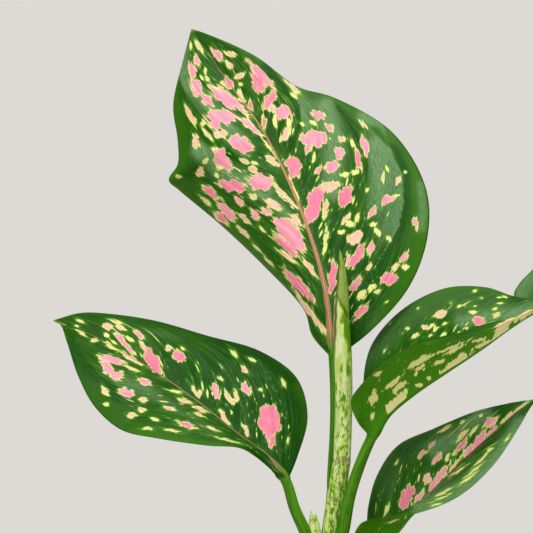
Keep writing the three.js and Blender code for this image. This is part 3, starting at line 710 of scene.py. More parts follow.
# painted light on the green, painted sheen (above 0) and painted shade beside creases and over darker zones
# (below 0): the line, how far it reaches to the left and to the right of that in pixels, and how much
paintedLightLines = {
    "top_leaf": [
        (outerCrease, 0.7, 8, -1.3),
        (outerCrease[3:-1], 26, 0.8, 0.7),
        (innerCrease, 0.7, 5, -1.1),
        ([(364, 116), (378, 126), (387, 141)], 8, 8, 0.8),
        ([(301, 124), (299, 106), (287, 87)], 0.8, 13, 0.9),
        ([(293, 145), (301, 124), (299, 106), (287, 87), (268, 66)], 8, 0.9, -0.9),
        ([(262, 110), (285, 145), (302, 185), (314, 225), (325, 262)], 9, 1.5, -0.9),
        ([(175, 64), (182, 88), (197, 122), (217, 146), (242, 159), (270, 173)], 0.8, 5, -0.7),
        ([(222, 250), (204, 212), (190, 190)], 8, 8, -0.5),
        ([(350, 246), (361, 285), (354, 335)], 13, 11, -1.2),
        ([(326, 108), (334, 140), (332, 190)], 11, 11, 1.0),
        ([(183, 80), (212, 110), (245, 150)], 9, 9, 0.9),
        ([(187, 48), (184.5, 70)], 4, 5, 0.7),
        ([(374, 148), (378, 175), (376, 203)], 9, 9, 0.6),
        ([(326, 222), (331, 240), (338, 252)], 6, 6, -0.8),
        ([(200, 150), (225, 174), (262, 186)], 9, 9, 1.1),
        ([(420, 185), (423, 212), (421, 228)], 6, 6, 0.6),
        # a thin painted highlight along the outer crease
        ([(x - 0.8, y - 0.4) for x, y in outerCrease[:-2]], 0.7, 0.7, 1.5),
        ([(262, 192), (285, 215)], 8, 8, 0.8),
    ],
    "side_shoot_top_leaf": [
        ([(512, 302), (534, 276)], 14, 14, 0.65),
    ],
    "left_leaf": [
        ([(285, 452), (262, 421), (232, 398), (196, 372)], 30, 24, -1.4),
        ([(66, 338), (82, 356), (100, 376), (126, 395)], 0.8, 10, -0.9),
        ([(72, 350), (84, 385), (103, 410), (125, 428)], 9, 9, -0.5),
        ([(225, 350), (255, 365), (275, 385), (290, 410)], 14, 14, -0.9),
        ([(118, 380), (150, 392), (180, 408), (215, 432)], 9, 9, 0.55),
        ([(130, 322), (175, 338), (215, 352)], 7, 7, 0.3),
        ([(75, 318), (160, 322), (250, 345), (292, 380)], 5, 5, -0.7),
        # thin lines of painted sheen
        ([(222, 366), (236, 388), (245, 412), (250, 437)], 0.7, 0.7, 1.8),
        ([(258, 362), (274, 384), (281, 406), (281, 433)], 0.7, 0.7, 2.0),
        ([(160, 352), (172, 376), (180, 389)], 0.6, 0.6, 1.2),
    ],
    "right_upper_leaf": [
        ([(372, 355), (400, 325), (440, 303), (490, 300)], 18, 16, 0.35),
        ([(462, 323), (495, 317), (515, 313), (533, 308)], 8, 8, 0.9),
        ([(440, 345), (470, 334), (500, 326)], 6, 6, -0.7),
        ([(420, 345), (395, 365), (375, 395)], 8, 8, -0.5),
    ],
    "right_lower_leaf": [
        ([(420, 508), (462, 488), (500, 455), (520, 425)], 9, 9, 1.0),
        ([(436, 450), (458, 436), (484, 414)], 9, 9, 1.0),
        ([(385, 490), (400, 460), (430, 435)], 14, 14, 0.3),
    ],
}
# how finely a leaf is meshed, how wide its midrib shows in mm and how rosy that is
leafLooks = {
    "top_leaf": (1.3, 1.25, 1.0), "left_leaf": (1, 0.6, 0.35), "right_upper_leaf": (1, 0.6, 0.15),
    "right_lower_leaf": (1, 0.6, 0.6), "side_shoot_top_leaf": (1, 0.8, 0.6), "other": (0.7, 0.6, 0.5),
}


# [middle line, left and right margin, stalk, bow] of a leaf with a measured outline
def measuredLeaf(spec):
    middle = seen(spec["midrib"])
    return dict(midrib=middle, left=seen(spec["left"]), right=seen(spec["right"]),
                stalk=np.vstack([seen(spec["stalk"]), middle[:1]]), bow=spec["bow"])


def ovate(s):
    widest = habit["baseFullness"] / (habit["baseFullness"] + habit["tipTaper"])
    return (s / widest) ** habit["baseFullness"] * ((1 - s) / (1 - widest)) ** habit["tipTaper"]


def leafFrame(heading, pitch, roll):
    h, p, r = (math.radians(a) for a in (heading, pitch, roll))
    along = np.array([math.cos(p) * math.cos(h), math.cos(p) * math.sin(h), math.sin(p)])
    level = np.array([-math.sin(h), math.cos(h), 0])
    left = level * math.cos(r) + np.cross(along, level) * math.sin(r)
    return along, left, np.cross(along, left)


def habitLeaf(spec):
    point = np.array(spec["root"], float)
    pitch = spec["pitch"]
    stalk = [point.copy()]
    for i in range(habit["stalkSteps"]):
        part = (i + 0.5) / habit["stalkSteps"]
        along = leafFrame(spec["heading"], pitch[0] + (pitch[1] - pitch[0]) * part, 0)[0]
        point = point + along * spec["stalk"] / habit["stalkSteps"]
        stalk.append(point)
    midrib, left, right = [], [], []
    for i in range(habit["stations"] + 1):
        s = i / habit["stations"]
        heading = spec["heading"] + spec["turn"] * s
        along, side, up = leafFrame(heading, pitch[1] + (pitch[2] - pitch[1]) * s, spec["roll"])
        half = max(ovate(s) * spec["width"] / 2, habit["neck"] + (habit["point"] - habit["neck"]) * s)
        lean = math.radians(spec["fold"]) * (1 - habit["opening"] * s)
        out, lift = half * math.cos(lean), half * math.sin(lean)
        ripple = spec["wave"] * math.sin(s * math.pi * 2 * habit["waves"]) * ovate(s)
        midrib.append(point)
        left.append(point + side * out + up * (lift + ripple))
        right.append(point - side * out + up * (lift - ripple))
        point = point + along * spec["length"] / habit["stations"]
    return dict(midrib=midrib, left=left, right=right, stalk=stalk, bow=(spec["width"] * habit["bow"],) * 2)


# how far inside the nearest patch each point lies, in mm, with that patch's tone and raggedness
def patchDepth(x, y, byTone, mmPerUnit, size):
    form = patchForm
    # a slight bend, so that no outline stays an ellipse
    bendX = np.sin(y / size + 1.7 * np.sin(0.7 * x / size))
    bendY = np.sin(1.3 * x / size + 1.1 * np.sin(0.9 * y / size))
    total, toned, rugged = np.full(x.shape, 1e-9), np.zeros(x.shape), np.zeros(x.shape)
    for tone, patches in byTone.items():
        for px, py, long, wide, slant in patches:
            c, s = math.cos(math.radians(slant)), math.sin(math.radians(slant))
            reach = form["bend"] * min(wide, form["bendWidth"] * size)
            dx, dy = x + reach * bendX - px, y + reach * bendY - py
            u = np.abs((dx * c + dy * s) / (long / 2))
            v = np.abs((dy * c - dx * s) / (wide / 2))
            # halfway between an ellipse and a lozenge with cut corners
            oval = np.hypot(u, v)
            angular = np.maximum(u * 0.75 + v * 0.75, np.maximum(u, v))
            depth = (1 - 0.5 * oval - 0.5 * angular) * wide / 2 * mmPerUnit
            weight = np.exp(np.maximum(depth, form["outside"]) * form["blend"])
            total += weight
            toned += weight * tones[tone]
            rugged += weight * min(form["plain"] + wide * mmPerUnit / form["fullyRagged"], 1.0)
    return np.log(total) / form["blend"], toned / total, rugged / total


# the same for patches measured in the photograph, where y runs down and slants don't
def photoDepth(px, py, byTone):
    flipped = {tone: [(x, -y, *rest) for x, y, *rest in patches] for tone, patches in byTone.items()}
    return patchDepth(px, -py, flipped, camera["mmPerPixel"], patchForm["inPhoto"])


# patches for a leaf that the photograph doesn't show, in mm across and along it
def scatteredPatches(length, halfWidth):
    patches = {tone: [] for tone in tones}
    names = list(tones)
    for side in (-1, 1):
        for _ in range(patchForm["perHalf"]):
            s = rng.uniform(0.1, 0.92)
            w = rng.beta(1.3, 1.9) * 0.85
            long = rng.uniform(3, 14) * (1 - 0.4 * w)
            wide = long * rng.uniform(0.3, 0.6)
            x = side * w * halfWidth * ovate(s)
            slant = 90 - side * rng.uniform(28, 48)
            tone = names[min(int(rng.uniform(0, 2) + long / 5), 3)]
            patches[tone].append((x, s * length, long, wide, slant))
    return patches


# distance from a line across the photograph in pixels, below 0 on the left hand as one walks along it
def beside(x, y, line):
    nearest = np.full(x.shape, np.inf)
    for (x0, y0), (x1, y1) in zip(line, line[1:]):
        dx, dy = x1 - x0, y1 - y0
        t = np.clip(((x - x0) * dx + (y - y0) * dy) / (dx * dx + dy * dy), 0, 1)
        gap = np.hypot(x - x0 - t * dx, y - y0 - t * dy)
        hand = np.where(dx * (y - y0) - dy * (x - x0) < 0, -1, 1)
        nearest = np.where(gap < np.abs(nearest), gap * hand, nearest)
    return nearest


# the painted light at each point: painted sheen above 0, painted shade below 0
def leafPaintedLight(name, px, py):
    paintedLight = np.zeros(px.shape)
    for line, leftward, rightward, amount in paintedLightLines.get(name, []):
        away = beside(px, py, line)
        paintedLight += amount * np.exp(-(away / np.where(away < 0, leftward, rightward)) ** 2)
    return np.clip(paintedLight, -1, 1)


# depth, tone and raggedness of the patches at each point of a blade
def leafPatches(name, px, py, signed, s, length, halfWidth):
    shape = signed.shape
    found = [np.full(shape, patchForm["outside"]), np.zeros(shape), np.ones(shape)]
    parts = {part: byTone for (owner, part), byTone in photoPatches.items() if owner == name}
    for part, byTone in parts.items():
        side = {"both": signed < np.inf, "left": signed <= 0, "right": signed > 0}[part]
        found = [np.where(side, new, old) for new, old in zip(photoDepth(px, py, byTone), found)]
    if not parts:
        y = s[:, None] * length + 0 * signed
        found = patchDepth(signed, y, scatteredPatches(length, halfWidth), 1.0, patchForm["onLeaf"])
    return np.maximum(found[0], patchForm["outside"]), found[1], found[2]


# rings closed round: the upper side from left to right, then the lower side back
def closed(upper, lower):
    return np.concatenate([upper, lower[:, -2:0:-1]], axis=1)


# the rings of a leaf's stalk from the stem to the blade, and their places around and along it in cm
def leafStalk(name, leaf, middle, side, ring, thin):
    form = leafForm
    t = np.linspace(0, 1, form["stalkSteps"], endpoint=False)
    tail = np.vstack([leaf["stalk"], np.array(leaf["midrib"])[1:2]])
    length = lineLength(leaf["stalk"])
    stalk = smoothLine(tail, t * (length / lineLength(tail)))
    # its foot tapers into the stem that carries it
    stem = sideStem if name.startswith("side_shoot") else mainStem
    stemLine = smoothLine(stem["points"], np.linspace(0, 1, 300))
    nearest = stemLine[np.argmin(np.linalg.norm(stemLine - stalk[0], axis=1))]
    sunk = (1 - ease(0, form["footShare"], t))[:, None]
    stalk = stalk + (nearest - stalk[0]) * sunk * form["footDepth"]
    along = unit(np.gradient(np.vstack([stalk, middle[:1]]), axis=0))[:-1]
    sides = []
    for direction in along[::-1]:
        side = unit(side - direction * side.dot(direction))
        sides.append(side)
    sides = np.array(sides[::-1])
    up = np.cross(sides, along)
    radius = np.interp(t, [0, 0.5, 1], [r * thin for r in form["stalkRadius"]])
    radius = (radius * (1 - form["footThinner"] * sunk[:, 0] ** 2))[:, None]
    sine = closed(np.sin(ring), np.sin(ring))[..., None]
    cosine = closed(np.cos(ring), -np.cos(ring))[..., None]
    points = stalk[:, None] + radius[..., None] * (sine * sides[:, None] + cosine * up[:, None])
    around = closed(ring, np.sign(ring) * math.pi - ring) * radius / 10
    return points, around, -(1 - t)[:, None] * length / 10


# half a blade's middle surface, from the midrib out: the distance from the midrib, the share of the half's
# width, the runs along the blade and along its side veins, the points
def leafHalf(name, s, middle, margin, up, length, ribRadius, core, blade, sign, bow):
    form = leafForm
    down = s[:, None]
    rightHalf = sign > 0
    out = margin - middle
    full = np.maximum(np.linalg.norm(out, axis=1), 0.05)
    turn = math.radians(form["coreTurn"])
    edge = np.minimum(ribRadius * math.sin(turn), full * 0.6)
    x = np.concatenate([np.outer(edge, np.sin(core * turn) / math.sin(turn)),
                        edge[:, None] + np.outer(full - edge, blade)], axis=1)
    w = x / full[:, None]
    arch = bow * np.sin(np.pi * s)[:, None] * 4 * w * (1 - w)
    lean, curve = form["spotLean"]
    run = (down - lean * w - curve * w**2) * length
    lean, curve, hook = form["veinLean"]
    veins = (down - lean * w - curve * w**2 - hook * w**6) * length
    wave = np.sin(np.pi * veins / form["veinGap"]) ** 2
    calm = ease(0, form["calmAtRib"], w) * ease(1, form["calmAtMargin"], w)
    calm = calm * ease(0, form["calmAtBase"], down) * ease(1, form["calmAtTip"], down)
    (a, b), (c, d) = form["wrinkleAcross"], form["wrinkleAlong"]
    wrinkle = np.sin(x * a + down * c + rightHalf * 2) * np.sin(x * b - down * d)
    relief = (form["veinRise"] * (wave**0.6 - 0.5) + form["wrinkle"] * wrinkle) * calm
    surface = middle[:, None] + out[:, None] * w[..., None] + up[:, None] * (arch + relief)[..., None]
    if name == "top_leaf" and rightHalf:
        for line in creases:
            away = beside(*inPhoto(surface), line) / creaseForm["width"]
            dent = creaseForm["depth"] * np.exp(-away**2) * calm
            surface = surface - up[:, None] * dent[..., None]
    return x * sign, w, run, veins, surface


def leafPiece(name, leaf, material, thin=1.0):
    form = leafForm
    fineness, ribLine, ribRose = leafLooks.get(name, leafLooks["other"])
    s = np.linspace(0, 1, round(form["along"] * fineness)) ** form["crowding"] * form["tipShare"]
    middle, left, right = (smoothLine(leaf[key], s) for key in ("midrib", "left", "right"))
    up = unit(np.cross(right - left, unit(np.gradient(middle, axis=0))))
    length = lineLength(leaf["midrib"])

    # samples across: the core is the rib, the rest the blade
    turn = math.radians(form["coreTurn"])
    core = np.arange(form["core"] + 1) / form["core"]
    half = round(form["halfAcross"] * fineness)
    blade = np.arange(1, half + 1) / half
    angle = np.concatenate([core * turn, turn + blade * (math.pi / 2 - turn)])
    ring = np.concatenate([-angle[::-1], angle[1:]])[None]  # left edge, over the top, right edge
    stalk, around, below = leafStalk(name, leaf, middle, unit(right[0] - left[0]), ring, thin)

    # the rib that the stalk becomes, and how wide it shows from above and from below
    base = form["stalkRadius"][2]
    pointed = ease(1.0, form["pointFrom"], s)
    ribRadius = base * thin * (1 - s) ** form["ribTaper"] + form["ribTip"] * (0.15 + 0.85 * pointed)
    ribUnder = 0.5 * (1 - s) + 0.1 + base * 0.5 * ease(0.03, 0.0, s)
    ribShown = ribLine * (1 - s) ** form["ribShownTaper"] + form["ribLeast"] + base * 0.7 * ease(0.1, 0.0, s)

    halves = [leafHalf(name, s, middle, margin, up, length, ribRadius, core, blade, sign, bow)
              for margin, sign, bow in ((left, -1, leaf["bow"][0]), (right, 1, leaf["bow"][1]))]
    signed, width, run, veins, surface = (
        np.concatenate([first[:, ::-1], second[:, 1:]], axis=1) for first, second in zip(*halves))
    normal = unit(np.cross(np.gradient(surface, axis=1), np.gradient(surface, axis=0)))

    # its thickness, with the rib round at the stalk and a ridge farther on
    share = np.abs(signed) / ribRadius[:, None]
    skin = form["thickness"] / 2 * np.sqrt(np.clip(1 - width**8, 0, 1))
    bell = np.exp(-form["ridgeNarrow"] * share**2)
    roundness = np.sqrt(np.clip(1 - share**2, 0, 1)) * ribRadius[:, None]
    opened = ease(0, form["ridgeFrom"], s)[:, None]
    shrink = (ribRadius / ribRadius[0])[:, None]
    above = (1 - opened) * roundness + opened * form["ridgeUp"] * shrink * bell
    under = (1 - opened) * roundness + opened * form["ridgeDown"] * ribRadius[:, None] * bell
    skin = skin * (ease(0, 0.03, s) * (0.3 + 0.7 * pointed))[:, None]
    upper = surface + normal * (above + skin)[..., None]
    lower = surface - normal * (under + skin)[..., None]
    upper[:, [0, -1]] = surface[:, [0, -1]]

    px, py = inPhoto(surface)
    halfWidth = np.max(np.linalg.norm(right - left, axis=1)) / 2
    depth, tone, rugged = leafPatches(name, px, py, signed, s, length, halfWidth)
    paintedLight = leafPaintedLight(name, px, py)
    ribAbove = np.maximum(np.abs(signed) / ribShown[:, None], width / 0.4) + 2 * ease(0.9, 0.97, s)[:, None]
    ribBelow = np.abs(signed) / ribUnder[:, None]
    nowhere, everywhere = np.zeros(signed.shape), np.ones(signed.shape)
    # what the skin reads at each point, on the stalk and on the blade
    read = {
        "leafPlace": [(around, below, below), [closed(v, v) / 10 for v in (signed, run, veins)]],
        "leafZone": [(0, below * 10 / length, 0),
                     (closed(width, width), s[:, None], closed(nowhere, everywhere))],
        "leafMarks": [(patchForm["outside"], 0, 0),
                      (closed(depth, depth), closed(ribAbove, ribBelow), closed(paintedLight, paintedLight))],
        "leafTint": [(0, ribRose, 0), (closed(tone, tone), ribRose, closed(rugged, rugged))],
    }
    points = [stalk, closed(upper, lower)]
    attributes = {
        key: np.concatenate([np.stack([np.broadcast_to(v, part.shape[:2]) for v in values], -1)
                             for part, values in zip(points, both)])
        for key, both in read.items()}
    points = np.concatenate(points)
    faces = tubeFaces(*points.shape[:2])
    return makePiece(name + "_skin", points.reshape(-1, 3), faces, material, name, attributes)


shootForm = dict(
    rings=240, sides=88, fluting=(0.05, 0.04), mottledTo=(272, 292),
    scarRise=0.32, scarWidth=0.9, scarTilt=1.6, scarTurn=2.2, swell=0.22, swellLength=7,
    wrapRise=0.42, seamRise=0.4, seamTwist=0.004,
    lipTurn=0.5, lipFrom=0.86, lipInward=0.25, lipInwardFrom=0.985, lipBrown=(0.962, 0.99),
)
# points in mm, with the radius spaced evenly along them, or for tips at each point's height
mainStem = dict(
    points=[[-36, 0, 73], [-36.5, 0, 125], [-35.5, 0, 165], [-31.5, 0, 200], [-27.2, 0, 232],
            [-26, 0, 241.5]],
    radius=[6.5, 6.6, 6.2, 5.2, 4.3, 4.1], mottled=0.85, lip=5.0,
    nodes=[124, 133, 143, 154, 167, 182, 201, 222])
sideStem = dict(
    points=[[33, 10, 73], [37, 12, 122], [50, 17, 158], [68, 28, 200], [80, 38, 228], [83, 40, 236.5]],
    radius=[6, 6, 5.6, 4.9, 4.1, 4], mottled=0.85, lip=4.0, nodes=[126, 136, 148, 163, 180, 199, 218])
mainNewLeaf = dict(
    points=[[-26, 0, 236], [-25.2, 0, 262], [-25.4, 0, 283], [-26, 0, 297], [-26, -0.4, 310],
            [-26.1, -0.8, 322], [-26.6, -1, 328.5], [-27.0, -1, 332.6]],
    radius=[3.4, 3.45, 3.5, 3.35, 3.0, 1.95, 1.05, 0.12], tips=True, mottled=0.66, wrapTop=312,
    wrapFoot=299, tipFrom=302)
sideNewLeaf = dict(
    points=[[83, 40, 231], [90, 44.5, 255], [94.5, 47, 278], [97, 48, 300], [98.5, 48, 320.5]],
    radius=[3.5, 3.5, 3.3, 2.3, 0.12], tips=True, mottled=0.75, wrapTop=298, wrapFoot=286, tipFrom=290)
youngTips = [
    dict(points=[[-38.6, -3.6, 168], [-39, -3.9, 190], [-39, -4.1, 205], [-39.6, -4.1, 211],
                 [-40.2, -4.2, 215.9]],
         radius=[2.4, 3.0, 2.5, 1.3, 0.12], tips=True, mottled=0.5),
    dict(points=[[-38.6, -3.0, 168], [-38.1, -3.1, 190], [-37.7, -3.2, 205], [-37.8, -3.2, 210],
                 [-38.2, -3.3, 214.5]],
         radius=[2.2, 2.8, 2.3, 1.5, 0.12], tips=True, mottled=0.5),
]
# green patches and dark streaks on the rolled leaf, measured like those on the leaves (their tone isn't used)
newLeafGreens = dict(cream=[
    (347.5, 330, 56, 8, -80), (350, 342, 34, 4, 88), (348.5, 372, 18, 4.5, -85), (341.5, 369, 7, 3, 80),
    (342, 399, 8, 4, 60), (346, 414, 18, 2.5, 85), (343, 447, 9, 4, 30),
])
newLeafDarks = dict(cream=[(335.5, 318, 76, 3, 88), (337.5, 274, 44, 3.4, 86), (344.5, 310, 32, 1.9, -64)])


# x to the right, and the way to the viewer, at each point of a shoot's middle line
def shootFrames(centre):
    along = unit(np.gradient(centre, axis=0))
    right = unit(np.array([1.0, 0, 0]) - along * along[:, :1])
    return right, np.cross(right, along)


# 1 well below 0, 0 well above it
def dropping(value):
    return 1 / (1 + np.exp(np.clip(value, -30, 30)))


def shootRings(spec, photo=False):
    form = shootForm
    t = np.linspace(0, 1, form["rings"])
    centre = smoothLine(spec["points"], t)
    right, front = shootFrames(centre)
    turn = np.linspace(-math.pi, math.pi, form["sides"], endpoint=False)[None]
    shape = (form["rings"], form["sides"])
    z = centre[:, 2:3]
    if "tips" in spec:
        radius = np.interp(z, [p[2] for p in spec["points"]], spec["radius"])
    else:
        radius = np.interp(t, np.linspace(0, 1, len(spec["radius"])), spec["radius"])[:, None]
    coarse, fine = form["fluting"]
    relief = coarse * np.sin(turn * 9 + z * 0.02) + fine * np.sin(turn * 16 + 1 + z * 0.03)
    relief = relief * np.minimum(radius / 3, 1)
    tip, lip, scar = np.zeros(shape), np.zeros(shape), np.zeros(shape)
    for i, height in enumerate(spec.get("nodes", [])):
        rise = z - height - form["scarTilt"] * np.cos(turn + i * form["scarTurn"])
        ring = np.exp(-(rise / form["scarWidth"]) ** 2)
        swell = dropping(rise * 1.6) * np.exp(-np.clip(-rise, 0, 99) / form["swellLength"])
        relief = relief + form["scarRise"] * ring + form["swell"] * swell
        scar = np.maximum(scar, ring)
    if "wrapTop" in spec:
        # the outer turn of the roll ends in a slanting edge, lowest at the right
        edge = spec["wrapFoot"] + (spec["wrapTop"] - spec["wrapFoot"]) * (0.5 - 0.5 * np.sin(turn))
        inside = dropping((z - edge) * 3)
        seam = np.mod(turn + 0.9 - (z - 250) * form["seamTwist"], 2 * math.pi) / (2 * math.pi) - 0.5
        relief = relief + form["wrapRise"] * inside * ease(0, 12, spec["wrapTop"] + 6 - z)
        relief = relief + form["seamRise"] * seam * inside
        tip = (1 - inside) * ease(spec["tipFrom"] - 6, spec["tipFrom"] + 4, z)
    way = np.sin(turn)[..., None] * right[:, None] + np.cos(turn)[..., None] * front[:, None]
    points = centre[:, None] + way * np.maximum(radius + relief, 0.06)[..., None]
    if "lip" in spec:
        # the sheath's mouth, which slants and curls in
        lean = np.cos(turn - form["lipTurn"])
        points[..., 2] -= spec["lip"] * (0.5 - 0.5 * lean) * ease(form["lipFrom"], 1.0, t)[:, None]
        inner = ease(form["lipInwardFrom"], 1.0, t)[:, None]
        points = points + (centre[:, None] - points) * (inner * form["lipInward"])[..., None]
        lip = ease(*form["lipBrown"], t)[:, None] * (0.4 + 0.35 * lean)
    greens, darks, mottled = patchForm["outside"], patchForm["outside"], spec["mottled"]
    if photo:
        px, py = inPhoto(points)
        facing = way[..., 1] < 0.1
        greens, darks = (np.where(facing, photoDepth(px, py, patches)[0], patchForm["outside"])
                         for patches in (newLeafGreens, newLeafDarks))
        mottled = mottled * ease(*form["mottledTo"][::-1], z)
    marks, zones = (np.stack([np.broadcast_to(v, shape) for v in values], -1)
                    for values in ((greens, darks, mottled), (tip, lip, scar)))
    return points, marks, zones


def shootPiece(name, specs, material, photo=False):
    points, faces, marks, zones = [], [], [], []
    for spec in specs:
        rings, mark, zone = shootRings(spec, photo)
        start = sum(len(p) for p in points)
        faces += [[v + start for v in face] for face in tubeFaces(*rings.shape[:2])]
        points.append(rings.reshape(-1, 3))
        marks.append(mark.reshape(-1, 3))
        zones.append(zone.reshape(-1, 3))
    attributes = {"shootMarks": np.vstack(marks), "shootZone": np.vstack(zones)}
    return makePiece(name + "_skin", np.vstack(points), faces, material, name, attributes)


pot = dict(height=130, rimRadius=75, baseRadius=49, wall=6, floor=7, bandHeight=30, bandStep=4, edge=2,
           drainHoles=3, drainRadius=5, drainCircle=24, drainSides=48, sides=160, soft=1.8, step=1.6,
           ripple=0.13, oval=0.18)
clay = dict(freshAndPaintedShade=(0.50, 0.165, 0.072, 1), dark=(0.33, 0.095, 0.042, 1), bloomAndPaintedSheen=(0.66, 0.49, 0.38, 1),
            damp=(0.24, 0.075, 0.035, 1), worn=(0.62, 0.27, 0.14, 1), rough=(0.82, 0.92), bump=(0.35, 0.0004),
            dampTo=(0.05, 0.01), bloomFrom=(0.03, 0.095), wornFrom=(0.1265, 0.1295))  # heights in metres


def potOuter(z):
    return pot["baseRadius"] + (pot["rimRadius"] - pot["bandStep"] - pot["baseRadius"]) * z / pot["height"]


# rounds every corner, then cuts the line into short steps
def softLine(corners, radius, step):
    line = [np.array(corners[0], float)]
    for a, b, c in zip(corners, corners[1:], corners[2:]):
        a, b, c = (np.array(p, float) for p in (a, b, c))
        before, after = np.linalg.norm(b - a), np.linalg.norm(c - b)
        start = b + (a - b) / before * min(radius, before * 0.45)
        end = b + (c - b) / after * min(radius, after * 0.45)
        line += [start * (1 - t) ** 2 + 2 * b * t * (1 - t) + end * t * t for t in np.linspace(0, 1, 5)]
    line.append(np.array(corners[-1], float))
    cut = [line[0]]
    for a, b in zip(line, line[1:]):
        parts = max(1, int(np.linalg.norm(b - a) / step))
        cut += [a + (b - a) * (i + 1) / parts for i in range(parts)]
    return np.array(cut)


# turns a line that starts and ends on the axis into a closed body, then lets shape move its points
def latheMesh(line, sides, shape):
    turn = np.arange(sides) / sides * 2 * math.pi
    r, z = line[1:-1, :1], line[1:-1, 1:]
    points = np.stack([r * np.cos(turn), r * np.sin(turn), z + 0 * turn], -1).reshape(-1, 3)
    count = len(points)
    points = shape(np.vstack([points, [[0, 0, line[0, 1]], [0, 0, line[-1, 1]]]]))
    faces = tubeFaces(len(r), sides)[:-2]
    for j in range(sides):
        k = (j + 1) % sides
        faces.append([count, k, j])
        faces.append([count + 1, count - sides + j, count - sides + k])
    return points, faces


# the ripples and the slight oval that throwing leaves in the wall, but not at its foot or lip
def thrown(points):
    x, y, z = np.moveaxis(points, -1, 0)
    r = np.hypot(x, y)
    wall = ease(40, 46, r) * ease(3, 9, z) * ease(129, 124, z)
    ripple = pot["ripple"] * (np.sin(z * 1.5) + 0.7 * np.sin(z * 0.57 + 1)) * wall
    ripple = ripple + pot["oval"] * np.sin(np.arctan2(y, x) * 2 + 0.6) * wall
    scale = 1 + ripple / np.maximum(r, 1)
    return np.stack([x * scale, y * scale, z], -1)


def makeClay():
    material, tree = newMaterial("clay")
    place, cm = objectPlace(tree)
    height = parted(place)[2]
    bands = noise(stretched(place, (30, 30, 260)), 1.2, 3.0)
    tone = plus(times(noise(cm, 0.7, 4.0), 0.6), times(bands, 0.4))
    skin = mixed(fade(tone, 0.35, 0.65), clay["dark"], clay["freshAndPaintedShade"])
    damp = plus(height, times(noise(cm, 0.5, 3.0), 0.03))
    skin = coat(skin, clay["damp"], damp, *clay["dampTo"], 0.0, 0.55)
    bloomAndPaintedSheen = noise(stretched(place, (60, 60, 90)), 1.1, 5.0, 0.62, 0.3)
    bloomAndPaintedSheen = plus(bloomAndPaintedSheen, fade(height, *clay["bloomFrom"], -0.05, 0.03))
    skin = coat(skin, clay["bloomAndPaintedSheen"], bloomAndPaintedSheen, 0.54, 0.70, 0.0, 0.5)
    worn = times(fade(height, *clay["wornFrom"]), fade(noise(cm, 3.0), 0.4, 0.6))
    skin = mixed(worn, skin, clay["worn"])
    pits = useGroup("flecks", {"Vector": cm, "Scale": 9.0, "Share": 0.12, "Size": 2.4})
    skin = coat(skin, clay["dark"], pits, 0.0, 0.01, 0.0, 0.5)
    grain = useGroup("grain", {"Vector": cm, "Scale": 22.0, "Depth": 1.0})
    rough = fade(tone, 0.3, 0.7, *clay["rough"])
    relief = minus(grain, fade(pits, 0.0, 0.012))
    finishMaterial(tree, {"Base Color": skin, "Roughness": rough}, relief, *clay["bump"])
    return material


def makePot():
    top, edge, rim = pot["height"], pot["edge"], pot["rimRadius"]
    foot = top - pot["bandHeight"]
    mouth = rim - pot["bandStep"] - pot["wall"]
    corners = [
        (0, 0), (pot["baseRadius"] - edge, 0), (pot["baseRadius"], edge), (potOuter(foot), foot),
        (rim - edge, foot + 1), (rim, top - edge), (rim - edge, top), (mouth + edge, top),
        (mouth, top - edge), (potOuter(pot["floor"]) - pot["wall"], pot["floor"]), (0, pot["floor"]),
    ]
    points, faces = latheMesh(softLine(corners, pot["soft"], pot["step"]), pot["sides"], thrown)
    piece = makePiece("pot_body", points, faces, makeClay(), "pot")
    for i in range(pot["drainHoles"]):
        turn = (i + 0.25) / pot["drainHoles"] * 2 * math.pi
        place = [math.cos(turn) * pot["drainCircle"], math.sin(turn) * pot["drainCircle"], pot["floor"] / 2]
        bpy.ops.mesh.primitive_cylinder_add(
            vertices=pot["drainSides"], radius=pot["drainRadius"] * mm, depth=pot["floor"] * 3 * mm,
            location=[value * mm for value in place])
        drill = bpy.context.object
        cut = piece.modifiers.new("drain", "BOOLEAN")
        cut.operation = "DIFFERENCE"
        cut.solver = "EXACT"
        cut.object = drill
        settle(piece)
        bpy.data.objects.remove(drill)
    piece.data.shade_smooth()
    piece.data.set_sharp_from_angle(angle=math.radians(35))


# makes what an object's modifiers give into its own mesh
def settle(piece):
    graph = bpy.context.evaluated_depsgraph_get()
    mesh = bpy.data.meshes.new_from_object(piece.evaluated_get(graph), depsgraph=graph)
    piece.modifiers.clear()
    piece.data = mesh


soil = dict(top=115, crown=3, gap=0.3, lumps=0.9, sides=180, soft=1.0, step=1.1,
            rise=[(0.7, 0.5), (0.4, 0.9), (0, 1)])  # shares of the mouth's radius and of the crown
soilPaint = dict(dark=(0.014, 0.008, 0.005, 1), light=(0.075, 0.042, 0.022, 1),
                 fibre=(0.16, 0.09, 0.045, 1), bark=(0.13, 0.062, 0.028, 1),
                 barkDark=(0.035, 0.018, 0.010, 1), perlite=(0.70, 0.69, 0.65, 1),
                 perliteDark=(0.55, 0.53, 0.48, 1), rough=0.93, bump=(0.6, 0.0008))
# what lies on it: pieces per square metre, and their size in mm
toppings = dict(
    crumbs=dict(density=300000, smallest=0.5, largest=1.7, flatness=0.8, rough=0.5, seed=3),
    bark=dict(density=21000, smallest=1.5, largest=4.2, flatness=0.42, rough=0.4, seed=11),
    perlite=dict(density=15000, smallest=0.7, largest=1.9, flatness=0.85, rough=0.35, seed=23),
)


def lumpy(points):
    x, y, z = np.moveaxis(points, -1, 0)
    waves = (np.sin(x * 0.31 + 1.3 * np.sin(y * 0.17)) + np.sin(y * 0.37 + 1.1 * np.sin(x * 0.23 + 2))
             + 0.6 * np.sin(x * 0.83 + y * 0.61) + 0.5 * np.sin(y * 1.07 - x * 0.71 + 1))
    lift = soil["lumps"] * waves * 0.45 * ease(soil["top"] - 3, soil["top"] - 0.5, z)
    return np.stack([x, y, z + lift], -1)


